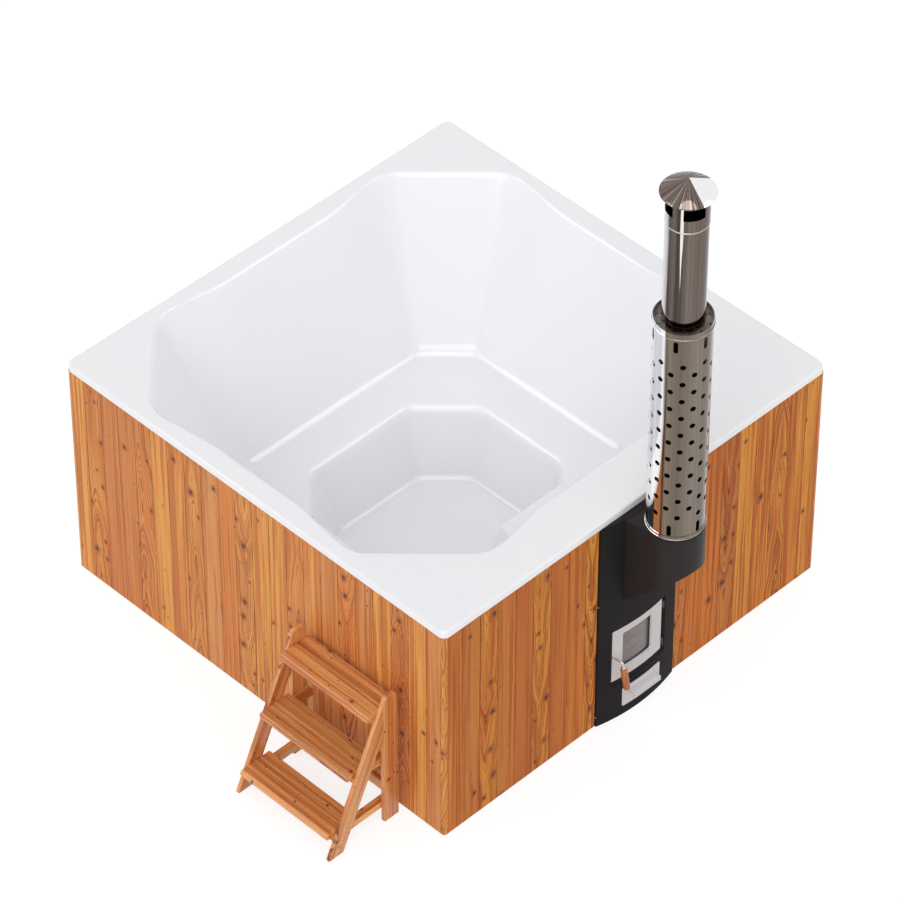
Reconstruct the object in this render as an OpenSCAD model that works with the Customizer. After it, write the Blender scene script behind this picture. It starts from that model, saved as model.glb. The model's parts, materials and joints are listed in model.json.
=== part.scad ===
// Square wood-fired plunge tub: acrylic shell in a timber-clad box, built-in stove, chimney and steps.
// Origin at the centre of the footprint on the ground, +Z up, stove at the -Y side, steps at the -X side.

/* [Tub] */
// Outside width over the cladding boards, both ways
tub_w = 2000; // [1800:10:2400]
// Height of the top of the cladding boards
clad_h = 1030; // [960:5:1240]
// Height of the shell's turned-down lip
lip_h = 32; // [24:1:45]
// Overhang of the rim past the boards
rim_over = 3; // [2:0.5:6]
// Wall thickness of the moulded shell
shell_t = 6; // [4:0.5:8]
// Height of the seat above the ground
seat_h = 420; // [350:5:510]
// Height of the raised housing over the stove
housing_h = 620; // [600:5:700]
// Height of the footwell floor
floor_h = 80; // [66:2:100]

/* [Box] */
// Boards along one side
board_n = 22; // [18:2:28]
// Thickness of a board
board_t = 18; // [14:1:22]
// Gap between neighbouring boards
board_gap = 0.5; // [0.3:0.1:1]
// Gap between the stove's front panel and the boards beside it
stove_gap = 1.5; // [1:0.5:5]
// Width of posts, studs and rails
post_w = 45; // [38:1:50]

/* [Stove] */
// Width of the bowed front panel
panel_w = 415; // [400:1:440]
// Rise of the panel's bow
panel_bow = 28; // [20:1:32]
// Sheet thickness of the panel
panel_t = 3; // [2:0.5:4]
// Height of the firebox body
firebox_h = 420; // [380:5:430]
// Thickness of the firebox's water jacket
jacket_t = 28; // [20:1:32]

/* [Chimney] */
// Distance of the chimney's axis from the cladding face
flue_out = 158; // [150:1:190]
// Radius of the perforated heat guard
guard_r = 109; // [100:1:120]
// Height of the heat guard
guard_h = 1002; // [840:2:1200]
// Radius of the upper flue
flue_r = 78.6; // [66:0.2:86]
// Height of the flue seam above the guard
flue_h = 442; // [370:2:530]
// Radius of the cap's cone
cone_r = 102.4; // [92:0.2:120]

/* [Steps] */
// Width over the two side frames
step_w = 502; // [420:2:600]
// Height of the rear posts
step_h = 646; // [600:2:700]
// Height of the top tread
tread_h = 580; // [540:2:600]
// Drop from one tread to the next
tread_drop = 230; // [200:2:240]
// Depth of a tread
tread_d = 150; // [130:2:160]

/* [Hidden] */

// Gap left where one piece rests on or against another
rest = 0.3;
half_w = tub_w / 2;
face_y = -half_w;
plan_scale = tub_w / 2000;
rim_base = clad_h + rest;
rim_top = rim_base + lip_h;
shell_under = floor_h - shell_t;
inner_face = half_w - board_t;
frame_out = inner_face - rest;
post_in = frame_out - post_w;
joist_top = shell_under - rest;
rail_h = 46;
stud_w = 40;
stud_off = 270;
pitch = tub_w / board_n;
board_z = 4;
board_edge = 1.5;
stove_edge = panel_w / 2 + stove_gap;
clear = 50;

// Colours of the materials
acrylic = [0.91, 0.91, 0.92];
larch = [0.78, 0.50, 0.28];
pine = [0.80, 0.66, 0.46];
step_wood = [0.66, 0.36, 0.20];
charcoal = [0.23, 0.22, 0.21];
satin_grey = [0.50, 0.50, 0.50];
stainless = [0.76, 0.76, 0.77];
black_steel = [0.16, 0.16, 0.16];
pipe_grey = [0.62, 0.63, 0.65];
brass = [0.72, 0.58, 0.30];
valve_red = [0.55, 0.12, 0.10];
grip_wood = [0.74, 0.42, 0.18];
smoked_glass = [0.30, 0.28, 0.26];
seal_dark = [0.12, 0.12, 0.12];

// Point on the way from p to q, no further than just under half of it
function toward(p, q, cut) = let (d = norm(q - p)) d == 0 ? p : p + (q - p) * min(cut, 0.48 * d) / d;
function bezier(s, p, e, t) = (1 - t) * (1 - t) * s + 2 * t * (1 - t) * p + t * t * e;
// Corner p rounded into n points: in the plan between its ends, in the section from end to end
function plan_round(q, p, r, cut, n) =
  let (s = toward(p, q, cut), e = toward(p, r, cut)) [for (i = [0:n-1]) bezier(s, p, e, (i + 0.5) / n)];
function section_round(q, p, r, cut, n) =
  let (s = toward(p, q, cut), e = toward(p, r, cut)) [for (i = [0:n-1]) bezier(s, p, e, i / (n - 1))];
function arc(c, r, a0, a1, n) = [for (i = [0:n]) let (a = a0 + (a1 - a0) * i / n) c + r * [cos(a), sin(a)]];
function mix(a, b, t) = a + (b - a) * t;

// Moulded shell: outlines from the lip to the drain hole, joined by rounded sections, with a skin below.
// Corners run front right, back right, back left, front left; then come the housing's four columns.
back_dir = [[-1, 0], [0, -1], [1, 0], [0, 1]];
on_dir = [[0, 1], [-1, 0], [0, -1], [1, 0]];
housing_x = 20 * plan_scale;
drain_at = [-120 * plan_scale, -1.5 * pitch];
drain_hole_r = 25;
wall_skin = 3.8;
well_skin = 5.2;

// Six vertices of a corner from distances along its sides; the pocket vertices stand out by v
function corner_points(s, k, legs_in, legs_out, v) = concat(
  [for (i = [0:2]) s + back_dir[k] * legs_in[i] - on_dir[k] * (i > 0 ? v : 0)],
  [for (i = [2:-1:0]) s + on_dir[k] * legs_out[i] - back_dir[k] * (i > 0 ? v : 0)]);

// Outline with sides [right, back, left, front], leg lists per corner, housing columns and heights
function outline(sides, legs, v, columns, z) =
  let (s = [[sides[0], sides[3]], [sides[0], sides[1]], [sides[2], sides[1]], [sides[2], sides[3]]])
  concat([for (k = [0:3]) each [for (p = corner_points(s[k], k, legs[k][0], legs[k][1], v)) [p[0], p[1], z]]],
    columns);

// Housing columns: half widths at seat and at housing top, and the y and z of both
function columns(half_base, half_top, y_base, y_top, z_base, z_top) = [
  [housing_x - half_base, y_base, z_base], [housing_x - half_top, y_top, z_top],
  [housing_x + half_top, y_top, z_top], [housing_x + half_base, y_base, z_base]];

function same_legs(a, b, c) = let (l = [a, b, c]) [for (k = [0:3]) [l, l]];
function grown(legs, d) = [for (k = legs) [for (l = k) [l[0] + d, l[1] + d, l[2] + 0.586 * d]]];
function scaled(legs) = [for (k = legs) [for (l = k) l * plan_scale]];

rim_half = half_w + rim_over;
rim_corner = 28;
opening_half = 913 * plan_scale;
opening_front = -788 * plan_scale;
foot = [617, 621, -617, -492] * plan_scale;
well = [410, 425, -470, -370] * plan_scale;
well_floor = [365, 375, -360, -300] * plan_scale;
pocket_out = 32;
housing_front = -425 * plan_scale;
rim_legs = same_legs(600 * plan_scale, 300 * plan_scale, 0.586 * rim_corner);
opening_legs = scaled(same_legs(600, 420, 312));
foot_legs = scaled(same_legs(298, 228, 168));
well_legs = scaled([[[200, 180, 160], [275, 218, 160]], [[320, 262, 205], [320, 262, 205]],
  [[275, 218, 160], [275, 218, 160]], [[275, 218, 160], [240, 200, 160]]]);
floor_legs = scaled([[[180, 165, 150], [230, 190, 150]], [[230, 190, 150], [230, 190, 150]],
  [[230, 190, 150], [230, 190, 150]], [[230, 190, 150], [200, 175, 150]]]);
// Front wall's y at the housing's height, on the line from the opening to the seat
housing_back = mix(opening_front, foot[3], (rim_top - housing_h) / (rim_top - seat_h));

// Outline k of the shell; skin is 0 for the face and 1 for the underside
function shell_outline(k, skin) =
  let (w = skin * wall_skin, f = skin * well_skin, dz = -skin * shell_t, g = skin * shell_t,
    rim = rim_half - g, out = [1, 1, -1, -1])
  k == 0 ? outline(out * rim, rim_legs, 0, columns(260, 215, -rim, -rim, rim_base, rim_base), rim_base) :
  k == 1 ? outline(out * rim, rim_legs, 0, columns(260, 215, -rim, -rim, rim_top + dz, rim_top + dz),
    rim_top + dz) :
  k == 2 ? outline([opening_half + w, opening_half + w, -opening_half - w, opening_front - w],
    grown(opening_legs, w), pocket_out, columns(260, 215, opening_front - w, opening_front - w,
    rim_top + dz, rim_top + dz), rim_top + dz) :
  k == 3 ? outline(foot + out * w, grown(foot_legs, w), 0, columns(225 * plan_scale - g, 208 * plan_scale - g,
    foot[3] - w, housing_back - w, seat_h + dz, housing_h + dz), seat_h + dz) :
  k == 4 ? outline(well + out * f, grown(well_legs, f), 0, columns(170 * plan_scale - g, 155 * plan_scale - g,
    well[3] - f, housing_front - f, seat_h + dz, housing_h + dz), seat_h + dz) :
  outline(well_floor + out * f, grown(floor_legs, f), 0, columns(130 * plan_scale, 110 * plan_scale,
    well_floor[3] - f, well_floor[3] - f, floor_h + dz, floor_h + dz), floor_h + dz);

// Rounding of each vertex in the plan: distance cut and number of points
point_n = concat([for (k = [0:3]) each [3, 3, 4, 4, 3, 3]], [3, 4, 4, 3]);
function plan_cuts(k) = concat([for (c = [0:3]) each
  k < 2 ? [40, 40, 0.414 * rim_corner, 0.414 * rim_corner, 40, 40] :
  k == 2 ? [60, 60, 60, 60, 60, 60] : k == 3 ? [20, 20, 25, 25, 20, 20] :
  k == 4 ? [20, 20, 40, 40, 20, 20] : [12, 12, 25, 25, 12, 12]], [15, 15, 15, 15]);
function rounded_plan(pts, cuts) = let (n = len(pts)) [for (i = [0:n-1])
  each plan_round(pts[(i + n - 1) % n], pts[i], pts[(i + 1) % n], cuts[i], point_n[i])];
function drain_ring(ring, z) = [for (p = ring)
  let (d = [p[0], p[1]] - drain_at) [each drain_at + d * drain_hole_r / norm(d), z]];

face_rings = [for (k = [0:5]) rounded_plan(shell_outline(k, 0), plan_cuts(k))];
skin_rings = [for (k = [0:5]) rounded_plan(shell_outline(k, 1), plan_cuts(k))];
// Section through one station: cuts and points at rim edge, opening, wall foot, well edge and well floor
face_cut = [10, 17.3, 27, 25, 12];
face_n = [4, 6, 5, 5, 4];
skin_cut = [0, 17.3, 27, 22, 10];
skin_n = [1, 3, 3, 3, 2];
function section(rings, hole, s, cut, n) = concat([rings[0][s]],
  [for (k = [1:5]) each concat(n[k-1] == 1 ? [rings[k][s]] :
    section_round(rings[k-1][s], rings[k][s], k == 5 ? hole[s] : rings[k+1][s], cut[k-1], n[k-1]),
    k == 2 && n[0] > 1 ? [mix(rings[2][s], rings[3][s], 0.5)] : [])],
  [hole[s]]);

module shell_body() {
  hole_face = drain_ring(face_rings[5], floor_h);
  hole_skin = drain_ring(skin_rings[5], shell_under);
  count = len(face_rings[0]);
  sections = [for (s = [0:count-1]) let (under = section(skin_rings, hole_skin, s, skin_cut, skin_n))
    concat(section(face_rings, hole_face, s, face_cut, face_n), [for (i = [len(under)-1:-1:0]) under[i]])];
  rows = len(sections[0]);
  points = [for (s = sections) each s];
  faces = [for (s = [0:count-1]) each [for (r = [0:rows-1])
    let (s2 = (s + 1) % count, r2 = (r + 1) % rows)
    each [[s * rows + r, s * rows + r2, s2 * rows + r2], [s * rows + r, s2 * rows + r2, s2 * rows + r]]]];
  polyhedron(points, faces);
}

module shell() color(acrylic) difference() {
  shell_body();
  for (i = [0, 1]) port_place(i) translate([0, 0, -clear]) cylinder(r = port_hole_r, h = 2 * clear, $fn = 48);
}

// Water ports between the tub and the stove's jacket, one low in the well and one high in the housing
port_hole_r = 22;
port_z = [260, 520];
port_x = [housing_x - 70, housing_x + 60];
function well_wall_y(z) = mix(well_floor[3], housing_front, (z - floor_h) / (housing_h - floor_h));
port_tilt = atan((well_floor[3] - housing_front) / (housing_h - floor_h));
// Local +Z points out of the wall into the water
module port_place(i) translate([port_x[i], well_wall_y(port_z[i]), port_z[i]])
  rotate([port_tilt - 90, 0, 0]) children();

port_flange_r = 34;
port_tube_r = port_hole_r - rest;
port_nut_z = -7;
port_nut_h = 10;
port_bore_r = 17;

module water_ports() color(pipe_grey) for (i = [0, 1]) port_place(i) difference() {
  union() {
    translate([0, 0, rest]) cylinder(r = port_flange_r, h = 4, $fn = 64);
    translate([0, 0, port_nut_z - port_nut_h - 12]) cylinder(r = port_tube_r, h = port_nut_h + 20, $fn = 64);
  }
  translate([0, 0, -clear]) cylinder(r = port_bore_r, h = 2 * clear, $fn = 64);
}

module port_nuts() color(pipe_grey) for (i = [0, 1]) port_place(i)
  translate([0, 0, port_nut_z - port_nut_h]) difference() {
    cylinder(r = port_flange_r, h = port_nut_h, $fn = 6);
    translate([0, 0, -1]) cylinder(r = port_hole_r + 0.1, h = port_nut_h + 2, $fn = 64);
  }

pipe_r = 25;
function port_run(i) = (well_wall_y(port_z[i]) - firebox_back) / cos(port_tilt);
module circulation_pipes() color(pipe_grey) for (i = [0, 1]) port_place(i) {
  start = port_nut_z - port_nut_h - rest;
  translate([0, 0, -port_run(i) - 8]) difference() {
    cylinder(r = pipe_r, h = start + port_run(i) + 8, $fn = 64);
    translate([0, 0, -1]) cylinder(r = port_hole_r, h = port_run(i) + clear, $fn = 64);
  }
}

// Cladding: runs of upright boards with eased edges, joints at multiples of the pitch from the middle
function board_joints(x0, x1) = concat([x0], [for (i = [-board_n / 2 + 1:board_n / 2 - 1])
  if (i * pitch > x0 + 20 && i * pitch < x1 - 20) i * pitch], [x1]);
function board_plan(a, b) = [[a, -inner_face], [b, -inner_face], [b, -half_w + board_edge],
  [b - board_edge, -half_w], [a + board_edge, -half_w], [a, -half_w + board_edge]];
module board_run(x0, x1) {
  joints = board_joints(x0, x1);
  translate([0, 0, board_z]) linear_extrude(clad_h - board_z) for (i = [0:len(joints) - 2])
    polygon(board_plan(joints[i] + board_gap / 2, joints[i + 1] - board_gap / 2));
}

module cladding_left() color(larch) rotate(-90) board_run(-inner_face, inner_face);
module cladding_right() color(larch) difference() {
  rotate(90) board_run(-inner_face, inner_face);
  translate([inner_face - 1, drain_at[1], drain_z]) rotate([0, 90, 0])
    cylinder(r = drain_r + 3, h = board_t + 2, $fn = 64);
}
module cladding_back() color(larch) rotate(180) board_run(-inner_face, inner_face);
module cladding_front_left() color(larch) board_run(-inner_face, -stove_edge);
module cladding_front_right() color(larch) board_run(stove_edge, inner_face);

trim_r = 11;
module corner_trims() color(larch) for (a = [0:90:270]) rotate(a)
  translate([inner_face + rest, inner_face + rest, board_z]) linear_extrude(clad_h - board_z) {
    s = board_t - rest;
    polygon(concat([[0, 0], [s, 0]], arc([s - trim_r, s - trim_r], trim_r, 0, 90, 8), [[0, s]]));
  }

// Frame behind the boards
post_top = rim_top - shell_t - rest;
sill_z = joist_top + rest;
stove_stud = panel_w / 2 + rest + stud_w / 2;
front_stud = 600 * plan_scale;
side_studs = [-stud_off, stud_off];
front_studs = [-front_stud, -stove_stud, stove_stud, front_stud];
top_rail_z = clad_h - 95;
mid_rail_z = seat_h + 80;

module upright(x, z) translate([x - stud_w / 2, -frame_out, z]) cube([stud_w, post_w, post_top - z]);
module on_side(a) rotate(a) children();

module corner_posts() color(pine) for (x = [-1, 1], y = [-1, 1])
  translate([x > 0 ? post_in : -frame_out, y > 0 ? post_in : -frame_out, sill_z])
    cube([post_w, post_w, post_top - sill_z]);

module studs() color(pine) {
  for (a = [-90, 90], x = side_studs) on_side(a) upright(x, sill_z + rail_h + rest);
  for (x = side_studs) on_side(180) upright(x, sill_z);
  for (x = front_studs) upright(x, sill_z);
}

// Rails between neighbouring uprights; the span at the stove stays open
function spans(stops) = let (n = len(stops)) [for (i = [0:n])
  [i == 0 ? -post_in + rest : stops[i - 1] + stud_w / 2 + rest,
   i == n ? post_in - rest : stops[i] - stud_w / 2 - rest]];
module rail(span, z, h) translate([span[0], -frame_out, z]) cube([span[1] - span[0], post_w, h]);
module rail_round(z) {
  for (a = [-90, 90, 180], s = spans(side_studs)) on_side(a) rail(s, z, post_w);
  for (s = spans(front_studs)) if (s[0] > 0 || s[1] < 0) rail(s, z, post_w);
}
module top_rails() color(pine) rail_round(top_rail_z);
module mid_rails() color(pine) rail_round(mid_rail_z);
module bottom_rails() color(pine) for (a = [-90, 90]) on_side(a)
  rail([-post_in + rest, post_in - rest], sill_z, rail_h);

joist_y = 240;
module base_joists() color(pine) {
  for (y = [-joist_y, 0, joist_y]) translate([-frame_out, y - post_w / 2, 0])
    cube([2 * frame_out, post_w, joist_top]);
  translate([-frame_out, post_in, 0]) cube([2 * frame_out, post_w, joist_top]);
  for (side = [0, 1]) mirror([side, 0, 0]) translate([panel_w / 2 + rest, -frame_out, 0])
    cube([frame_out - panel_w / 2 - rest, post_w, joist_top]);
}

// Drain: fitting and nut in the footwell floor, pipe to the right-hand side, ball valve outside
drain_z = 34;
drain_r = 22;
drain_bore = 18.5;
tube_r = 22;
tube_end = 46;
nut_h = 11;
elbow_r = 26;
valve_x = half_w + 46;
ball_r = 21;
stem_r = 5;
valve_top = 36;
lever_l = 105;
lever_t = 5;
strainer_r = 3.4;

module drain_fitting() color(stainless) translate([drain_at[0], drain_at[1], 0]) difference() {
  union() {
    translate([0, 0, floor_h + rest]) cylinder(r1 = 40, r2 = 37, h = 4, $fn = 96);
    translate([0, 0, tube_end]) cylinder(r = tube_r, h = floor_h - tube_end + 1, $fn = 96);
  }
  translate([0, 0, tube_end - 1]) cylinder(r = drain_bore, h = floor_h - tube_end + 3, $fn = 96);
  for (a = [0:60:300]) rotate(a) translate([10.5, 0, floor_h - 5])
    cylinder(r = strainer_r, h = 20, $fn = 24);
  translate([0, 0, floor_h - 5]) cylinder(r = strainer_r, h = 20, $fn = 24);
}

module drain_nut() color(pipe_grey) translate([drain_at[0], drain_at[1], shell_under - rest - nut_h])
  difference() {
    cylinder(r = 38, h = nut_h, $fn = 6);
    translate([0, 0, -1]) cylinder(r = tube_r + rest, h = nut_h + 2, $fn = 96);
  }

module drain_pipe() color(pipe_grey) difference() {
  top = shell_under - 2 * rest - nut_h;
  end = half_w + 20;
  union() {
    translate([drain_at[0], drain_at[1], drain_z - elbow_r + 2]) cylinder(r = elbow_r, h = top - drain_z
      + elbow_r - 2, $fn = 96);
    translate([drain_at[0], drain_at[1], drain_z]) rotate([0, 90, 0])
      cylinder(r = drain_r, h = end - drain_at[0], $fn = 96);
  }
  translate([drain_at[0], drain_at[1], tube_end - rest]) cylinder(r = tube_r + rest, h = clear, $fn = 96);
  translate([drain_at[0], drain_at[1], drain_z - drain_bore]) cylinder(r = drain_bore, h = clear, $fn = 96);
  translate([drain_at[0], drain_at[1], drain_z]) rotate([0, 90, 0])
    cylinder(r = drain_bore, h = end - drain_at[0] + 1, $fn = 96);
}

module along_drain(x, r, h) translate([x, drain_at[1], drain_z]) rotate([0, 90, 0])
  cylinder(r = r, h = h, $fn = 96);

module drain_valve() color(brass) difference() {
  union() {
    along_drain(half_w + 4, 27, 22);
    translate([valve_x, drain_at[1], drain_z]) sphere(r = 29, $fn = 96);
    along_drain(valve_x, 24, 44);
    translate([valve_x, drain_at[1], drain_z]) cylinder(r = 10, h = valve_top, $fn = 64);
  }
  along_drain(half_w, drain_r + rest, 20 + rest);
  along_drain(half_w + 10, 14, 120);
  translate([valve_x, drain_at[1], drain_z]) sphere(r = ball_r + rest, $fn = 96);
  translate([valve_x, drain_at[1], drain_z]) cylinder(r = stem_r + rest, h = 60, $fn = 64);
}

module valve_ball() color(stainless) translate([valve_x, drain_at[1], drain_z]) difference() {
  union() {
    sphere(r = ball_r, $fn = 96);
    cylinder(r = stem_r, h = valve_top + 10, $fn = 64);
  }
  translate([0, 40, 0]) rotate([90, 0, 0]) cylinder(r = 13, h = 80, $fn = 64);
}

module valve_lever() color(valve_red) translate([valve_x, drain_at[1], drain_z + valve_top + rest])
  difference() {
    union() {
      cylinder(r = 11, h = lever_t, $fn = 64);
      translate([-8, -lever_l, 0]) cube([16, lever_l, lever_t]);
    }
    translate([0, 0, -1]) cylinder(r = stem_r + 0.15, h = lever_t + 2, $fn = 64);
  }

// Stove front: a bowed panel whose arc all the door and drawer parts share
// The arc passes panel_out in front of the boards at its middle
panel_out = 35;
bow_r = (panel_w * panel_w / 4 + panel_bow * panel_bow) / (2 * panel_bow);
bow_y = face_y - panel_out + bow_r;
function bow_front(r, x) = bow_y - sqrt(r * r - x * x);
door_cut = [-147.5, 182, 137.5, 473];
drawer_cut = [-84, 58, 100, 140];
duct_cut = [-75, 622, 75, 885];
return_back = face_y + 40;
screw_y = face_y - 3.2;
screw_z = [50, 634];
screw_r = 1.4;
screw_head_r = 2.4;

// Upright slice of the arc between two radii, and a rounded block for windows, given as [x0, z0, x1, z1]
module bow(r_out, r_in, b) translate([0, 0, b[1]]) linear_extrude(b[3] - b[1]) intersection() {
  translate([0, bow_y]) difference() {
    circle(r = r_out, $fn = 256);
    circle(r = r_in, $fn = 256);
  }
  translate([b[0], bow_y - r_out - 1]) square([b[2] - b[0], 120]);
}
module block(b, r) rotate([90, 0, 0]) translate([0, 0, -face_y - 100]) linear_extrude(200)
  polygon(r == 0 ? [[b[0], b[1]], [b[2], b[1]], [b[2], b[3]], [b[0], b[3]]] : concat(
    arc([b[2] - r, b[1] + r], r, -90, 0, 6), arc([b[2] - r, b[3] - r], r, 0, 90, 6),
    arc([b[0] + r, b[3] - r], r, 90, 180, 6), arc([b[0] + r, b[1] + r], r, 180, 270, 6)));
function shrink(b, d) = [b[0] + d, b[1] + d, b[2] - d, b[3] - d];

module stove_panel() color(charcoal) difference() {
  union() {
    bow(bow_r, bow_r - panel_t, [-panel_w / 2, board_z, panel_w / 2, clad_h]);
    for (side = [0, 1]) mirror([side, 0, 0])
      translate([panel_w / 2 - panel_t, bow_front(bow_r, panel_w / 2) + 0.5, board_z])
        cube([panel_t, return_back - bow_front(bow_r, panel_w / 2) - 0.5, clad_h - board_z]);
  }
  block(door_cut, 0);
  block(drawer_cut, 0);
  translate([chimney_x, 0, 0]) block(duct_cut, 0);
  for (z = screw_z) translate([-panel_w, screw_y, z]) rotate([0, 90, 0])
    cylinder(r = screw_r + 0.2, h = 2 * panel_w, $fn = 24);
}

module panel_cap() color(charcoal) translate([0, 0, clad_h - panel_t - 0.2]) linear_extrude(panel_t)
  intersection() {
    translate([0, bow_y]) circle(r = bow_r - panel_t - 0.2, $fn = 256);
    translate([-panel_w / 2 + panel_t + rest, face_y - 40]) square([panel_w - 2 * panel_t - 2 * rest, 78]);
  }

module panel_screws() color(satin_grey) for (side = [0, 1], z = screw_z) mirror([side, 0, 0])
  translate([panel_w / 2 + 0.2, screw_y, z]) rotate([0, 90, 0]) {
    cylinder(r = screw_head_r, h = 1, $fn = 32);
    translate([0, 0, -8]) cylinder(r = screw_r, h = 8.5, $fn = 32);
  }

// Hood round the chimney's foot: U-shaped plan, slanted underside, open towards the panel
chimney_x = 22.6;
chimney_y = face_y - flue_out;
hood_r = guard_r + 4;
hood_mouth = [hood_r + 13.6, flue_out - 30];
hood_sheet = 2;
hood_low = 617;
hood_slope = 0.98;
function hood_under(y) = hood_low + hood_slope * (face_y - 28 - y);
function hood_plan(d) = let (r = hood_r - d, m = [hood_mouth[0] - d, hood_mouth[1] + 40],
    t = atan2(m[1], m[0]) - acos(r / norm(m)))
  concat([[-m[0], m[1]]], arc([0, 0], r, -180 - t, t, 40), [m]);
module above_slant(lift, top) rotate([90, 0, 90]) translate([0, 0, -200])
  linear_extrude(400 + 2 * chimney_x)
  polygon([[face_y + 20, hood_under(face_y + 20) + lift], [face_y + 20, top], [chimney_y - 150, top],
    [chimney_y - 150, hood_under(chimney_y - 150) + lift]]);
module hood_block(d, top) intersection() {
  translate([chimney_x, chimney_y, 400]) linear_extrude(top - 400) polygon(hood_plan(d));
  above_slant(d * 1.4, top);
}
module hood() color(charcoal) difference() {
  hood_block(0, clad_h);
  hood_block(hood_sheet, clad_h - hood_sheet);
  translate([0, bow_y, 300]) cylinder(r = bow_r + rest, h = clad_h, $fn = 256);
  translate([chimney_x, chimney_y, clad_h - 20]) cylinder(r = guard_r - 14, h = 40, $fn = 96);
}

// Stove door with its recess; the frame, glass, retainer and seal follow the panel's arc
door_b = [-142, 204, 118, 468];
window_b = [-93, 250, 60, 435];
glass_b = [-103, 240, 70, 445];
retainer_b = [-111, 232, 78, 453];
seal_b = [-124, 219, 91, 466];
throat_b = [-100, 240, 72, 445];
hinge_x = 128;
hinge_at = [hinge_x, bow_front(bow_r, hinge_x) + 4.46];
hinge_r = 4.5;
pin_r = 2.5;
pin_head_r = 4.2;
lug_h = 25;
bracket_h = 10;
lug_z = [225, 422];
// Depths behind the panel's face along the arc: frame, glass, retainer, seal and the recess's back plate
frame_in = 4;
frame_t = 14;
glass_in = frame_in + frame_t + 0.2;
glass_t = 4;
retainer_in = glass_in + glass_t + 0.2;
retainer_t = 3.6;
seal_in = glass_in + 8.5;
plate_in = seal_in + rest;
surround_back = face_y + 14.7;
latch_at = [-135.2, 332];
latch_y = bow_front(bow_r - frame_in - frame_t, latch_at[0]) + 2.96;
tongue = [10, 4.6, 8];

module door_surround() color(black_steel) difference() {
  union() {
    difference() {
      translate([0, 0, door_cut[1] - panel_t]) linear_extrude(door_cut[3] - door_cut[1] + 2 * panel_t)
        intersection() {
          translate([0, bow_y]) circle(r = bow_r - panel_t - 0.2, $fn = 256);
          translate([door_cut[0] - panel_t, face_y - 60])
            square([door_cut[2] - door_cut[0] + 2 * panel_t, surround_back - face_y + 60]);
        }
      difference() {
        block(door_cut, 0);
        translate([0, bow_y, 0]) cylinder(r = bow_r - plate_in, h = 600, $fn = 256);
      }
    }
    for (z = lug_z) translate([hinge_at[0], hinge_at[1], z - bracket_h - rest]) {
      cylinder(r = hinge_r, h = bracket_h, $fn = 48);
      translate([0, 1, 0]) cube([door_cut[2] - hinge_at[0] + 1, hinge_r - 1, bracket_h]);
    }
  }
  block(throat_b, 0);
  for (z = lug_z) translate([hinge_at[0], hinge_at[1], z - 30]) cylinder(r = pin_r + 0.1, h = 32, $fn = 48);
}

module hinge_pins() color(satin_grey) for (z = lug_z) translate([hinge_at[0], hinge_at[1], 0]) {
  translate([0, 0, z - bracket_h - 2]) cylinder(r = pin_r, h = bracket_h + lug_h + 3, $fn = 48);
  translate([0, 0, z + lug_h + rest]) cylinder(r = pin_head_r, h = 2.5, $fn = 48);
}

module door_frame() color(satin_grey) difference() {
  union() {
    bow(bow_r - frame_in, bow_r - frame_in - frame_t, door_b);
    for (z = lug_z) translate([hinge_at[0], hinge_at[1], z]) {
      cylinder(r = hinge_r, h = lug_h, $fn = 48);
      translate([door_b[2] - hinge_at[0] - 4, -1.5, 0]) cube([hinge_at[0] - door_b[2] + 4, 3, lug_h]);
    }
  }
  block(window_b, 6);
  for (z = lug_z) translate([hinge_at[0], hinge_at[1], z - 1])
    cylinder(r = pin_r + rest, h = lug_h + 2, $fn = 48);
  translate([latch_at[0], face_y + 50, latch_at[1]]) rotate([90, 0, 0])
    cylinder(r = rod_r + rest, h = 100, $fn = 48);
}
module door_glass() color(smoked_glass) bow(bow_r - glass_in, bow_r - glass_in - glass_t, glass_b);
module glass_retainer() color(black_steel) difference() {
  bow(bow_r - retainer_in, bow_r - retainer_in - retainer_t, retainer_b);
  block(window_b, 6);
}
module door_seal() color(seal_dark) difference() {
  bow(bow_r - glass_in, bow_r - seal_in, seal_b);
  block(shrink(retainer_b, -2), 0);
}

// Latch: rod through the frame, bent out and down into a wooden grip, with a tongue behind the frame
rod_r = 3.5;
grip_r = 13;
grip_l = 98;
rod_steps = [[0, 0, 0], [0, -44, 0], [3, -60, -9], [5, -66, -24], [5, -78, -82]];
rod_path = [for (p = rod_steps) [latch_at[0], latch_y, latch_at[1]] + p];
grip_dir = rod_path[4] - rod_path[3];
grip_tilt = [-acos(-grip_dir[2] / norm(grip_dir)), 0, 0];

// Straight stretch of rod from p to q, run on past both by e
module rod(p, q, r, e, n) {
  d = q - p;
  translate(p - e * d / norm(d)) rotate([0, acos(d[2] / norm(d)), atan2(d[1], d[0])])
    cylinder(r = r, h = norm(d) + 2 * e, $fn = n);
}
module latch_rod() color(satin_grey) {
  for (i = [0:len(rod_path) - 2]) rod(rod_path[i], rod_path[i + 1], rod_r, 0.8, 12);
  translate([latch_at[0] - 8, latch_y - 0.6, latch_at[1] - tongue[2] / 2]) cube(tongue);
}
function grip_profile(r, l) = concat([[0, 0]], arc([r - 5, 5], 5, -90, 0, 5), [[r + 1, l / 2]],
  arc([r - 6, l - 6], 6, 0, 90, 5), [[0, l]]);
module latch_grip() color(grip_wood) difference() {
  translate(rod_path[3]) rotate(grip_tilt) rotate([180, 0, 0]) rotate_extrude($fn = 64)
    polygon(grip_profile(grip_r, grip_l));
  rod(rod_path[3], rod_path[4], rod_r + rest, 6, 32);
}
catch_block = [8, 4.5, 5];
module latch_catch() color(black_steel)
  translate([door_cut[0] + rest, latch_y - 1, latch_at[1] - tongue[2] / 2 - rest - catch_block[2]])
    cube(catch_block);

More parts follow.
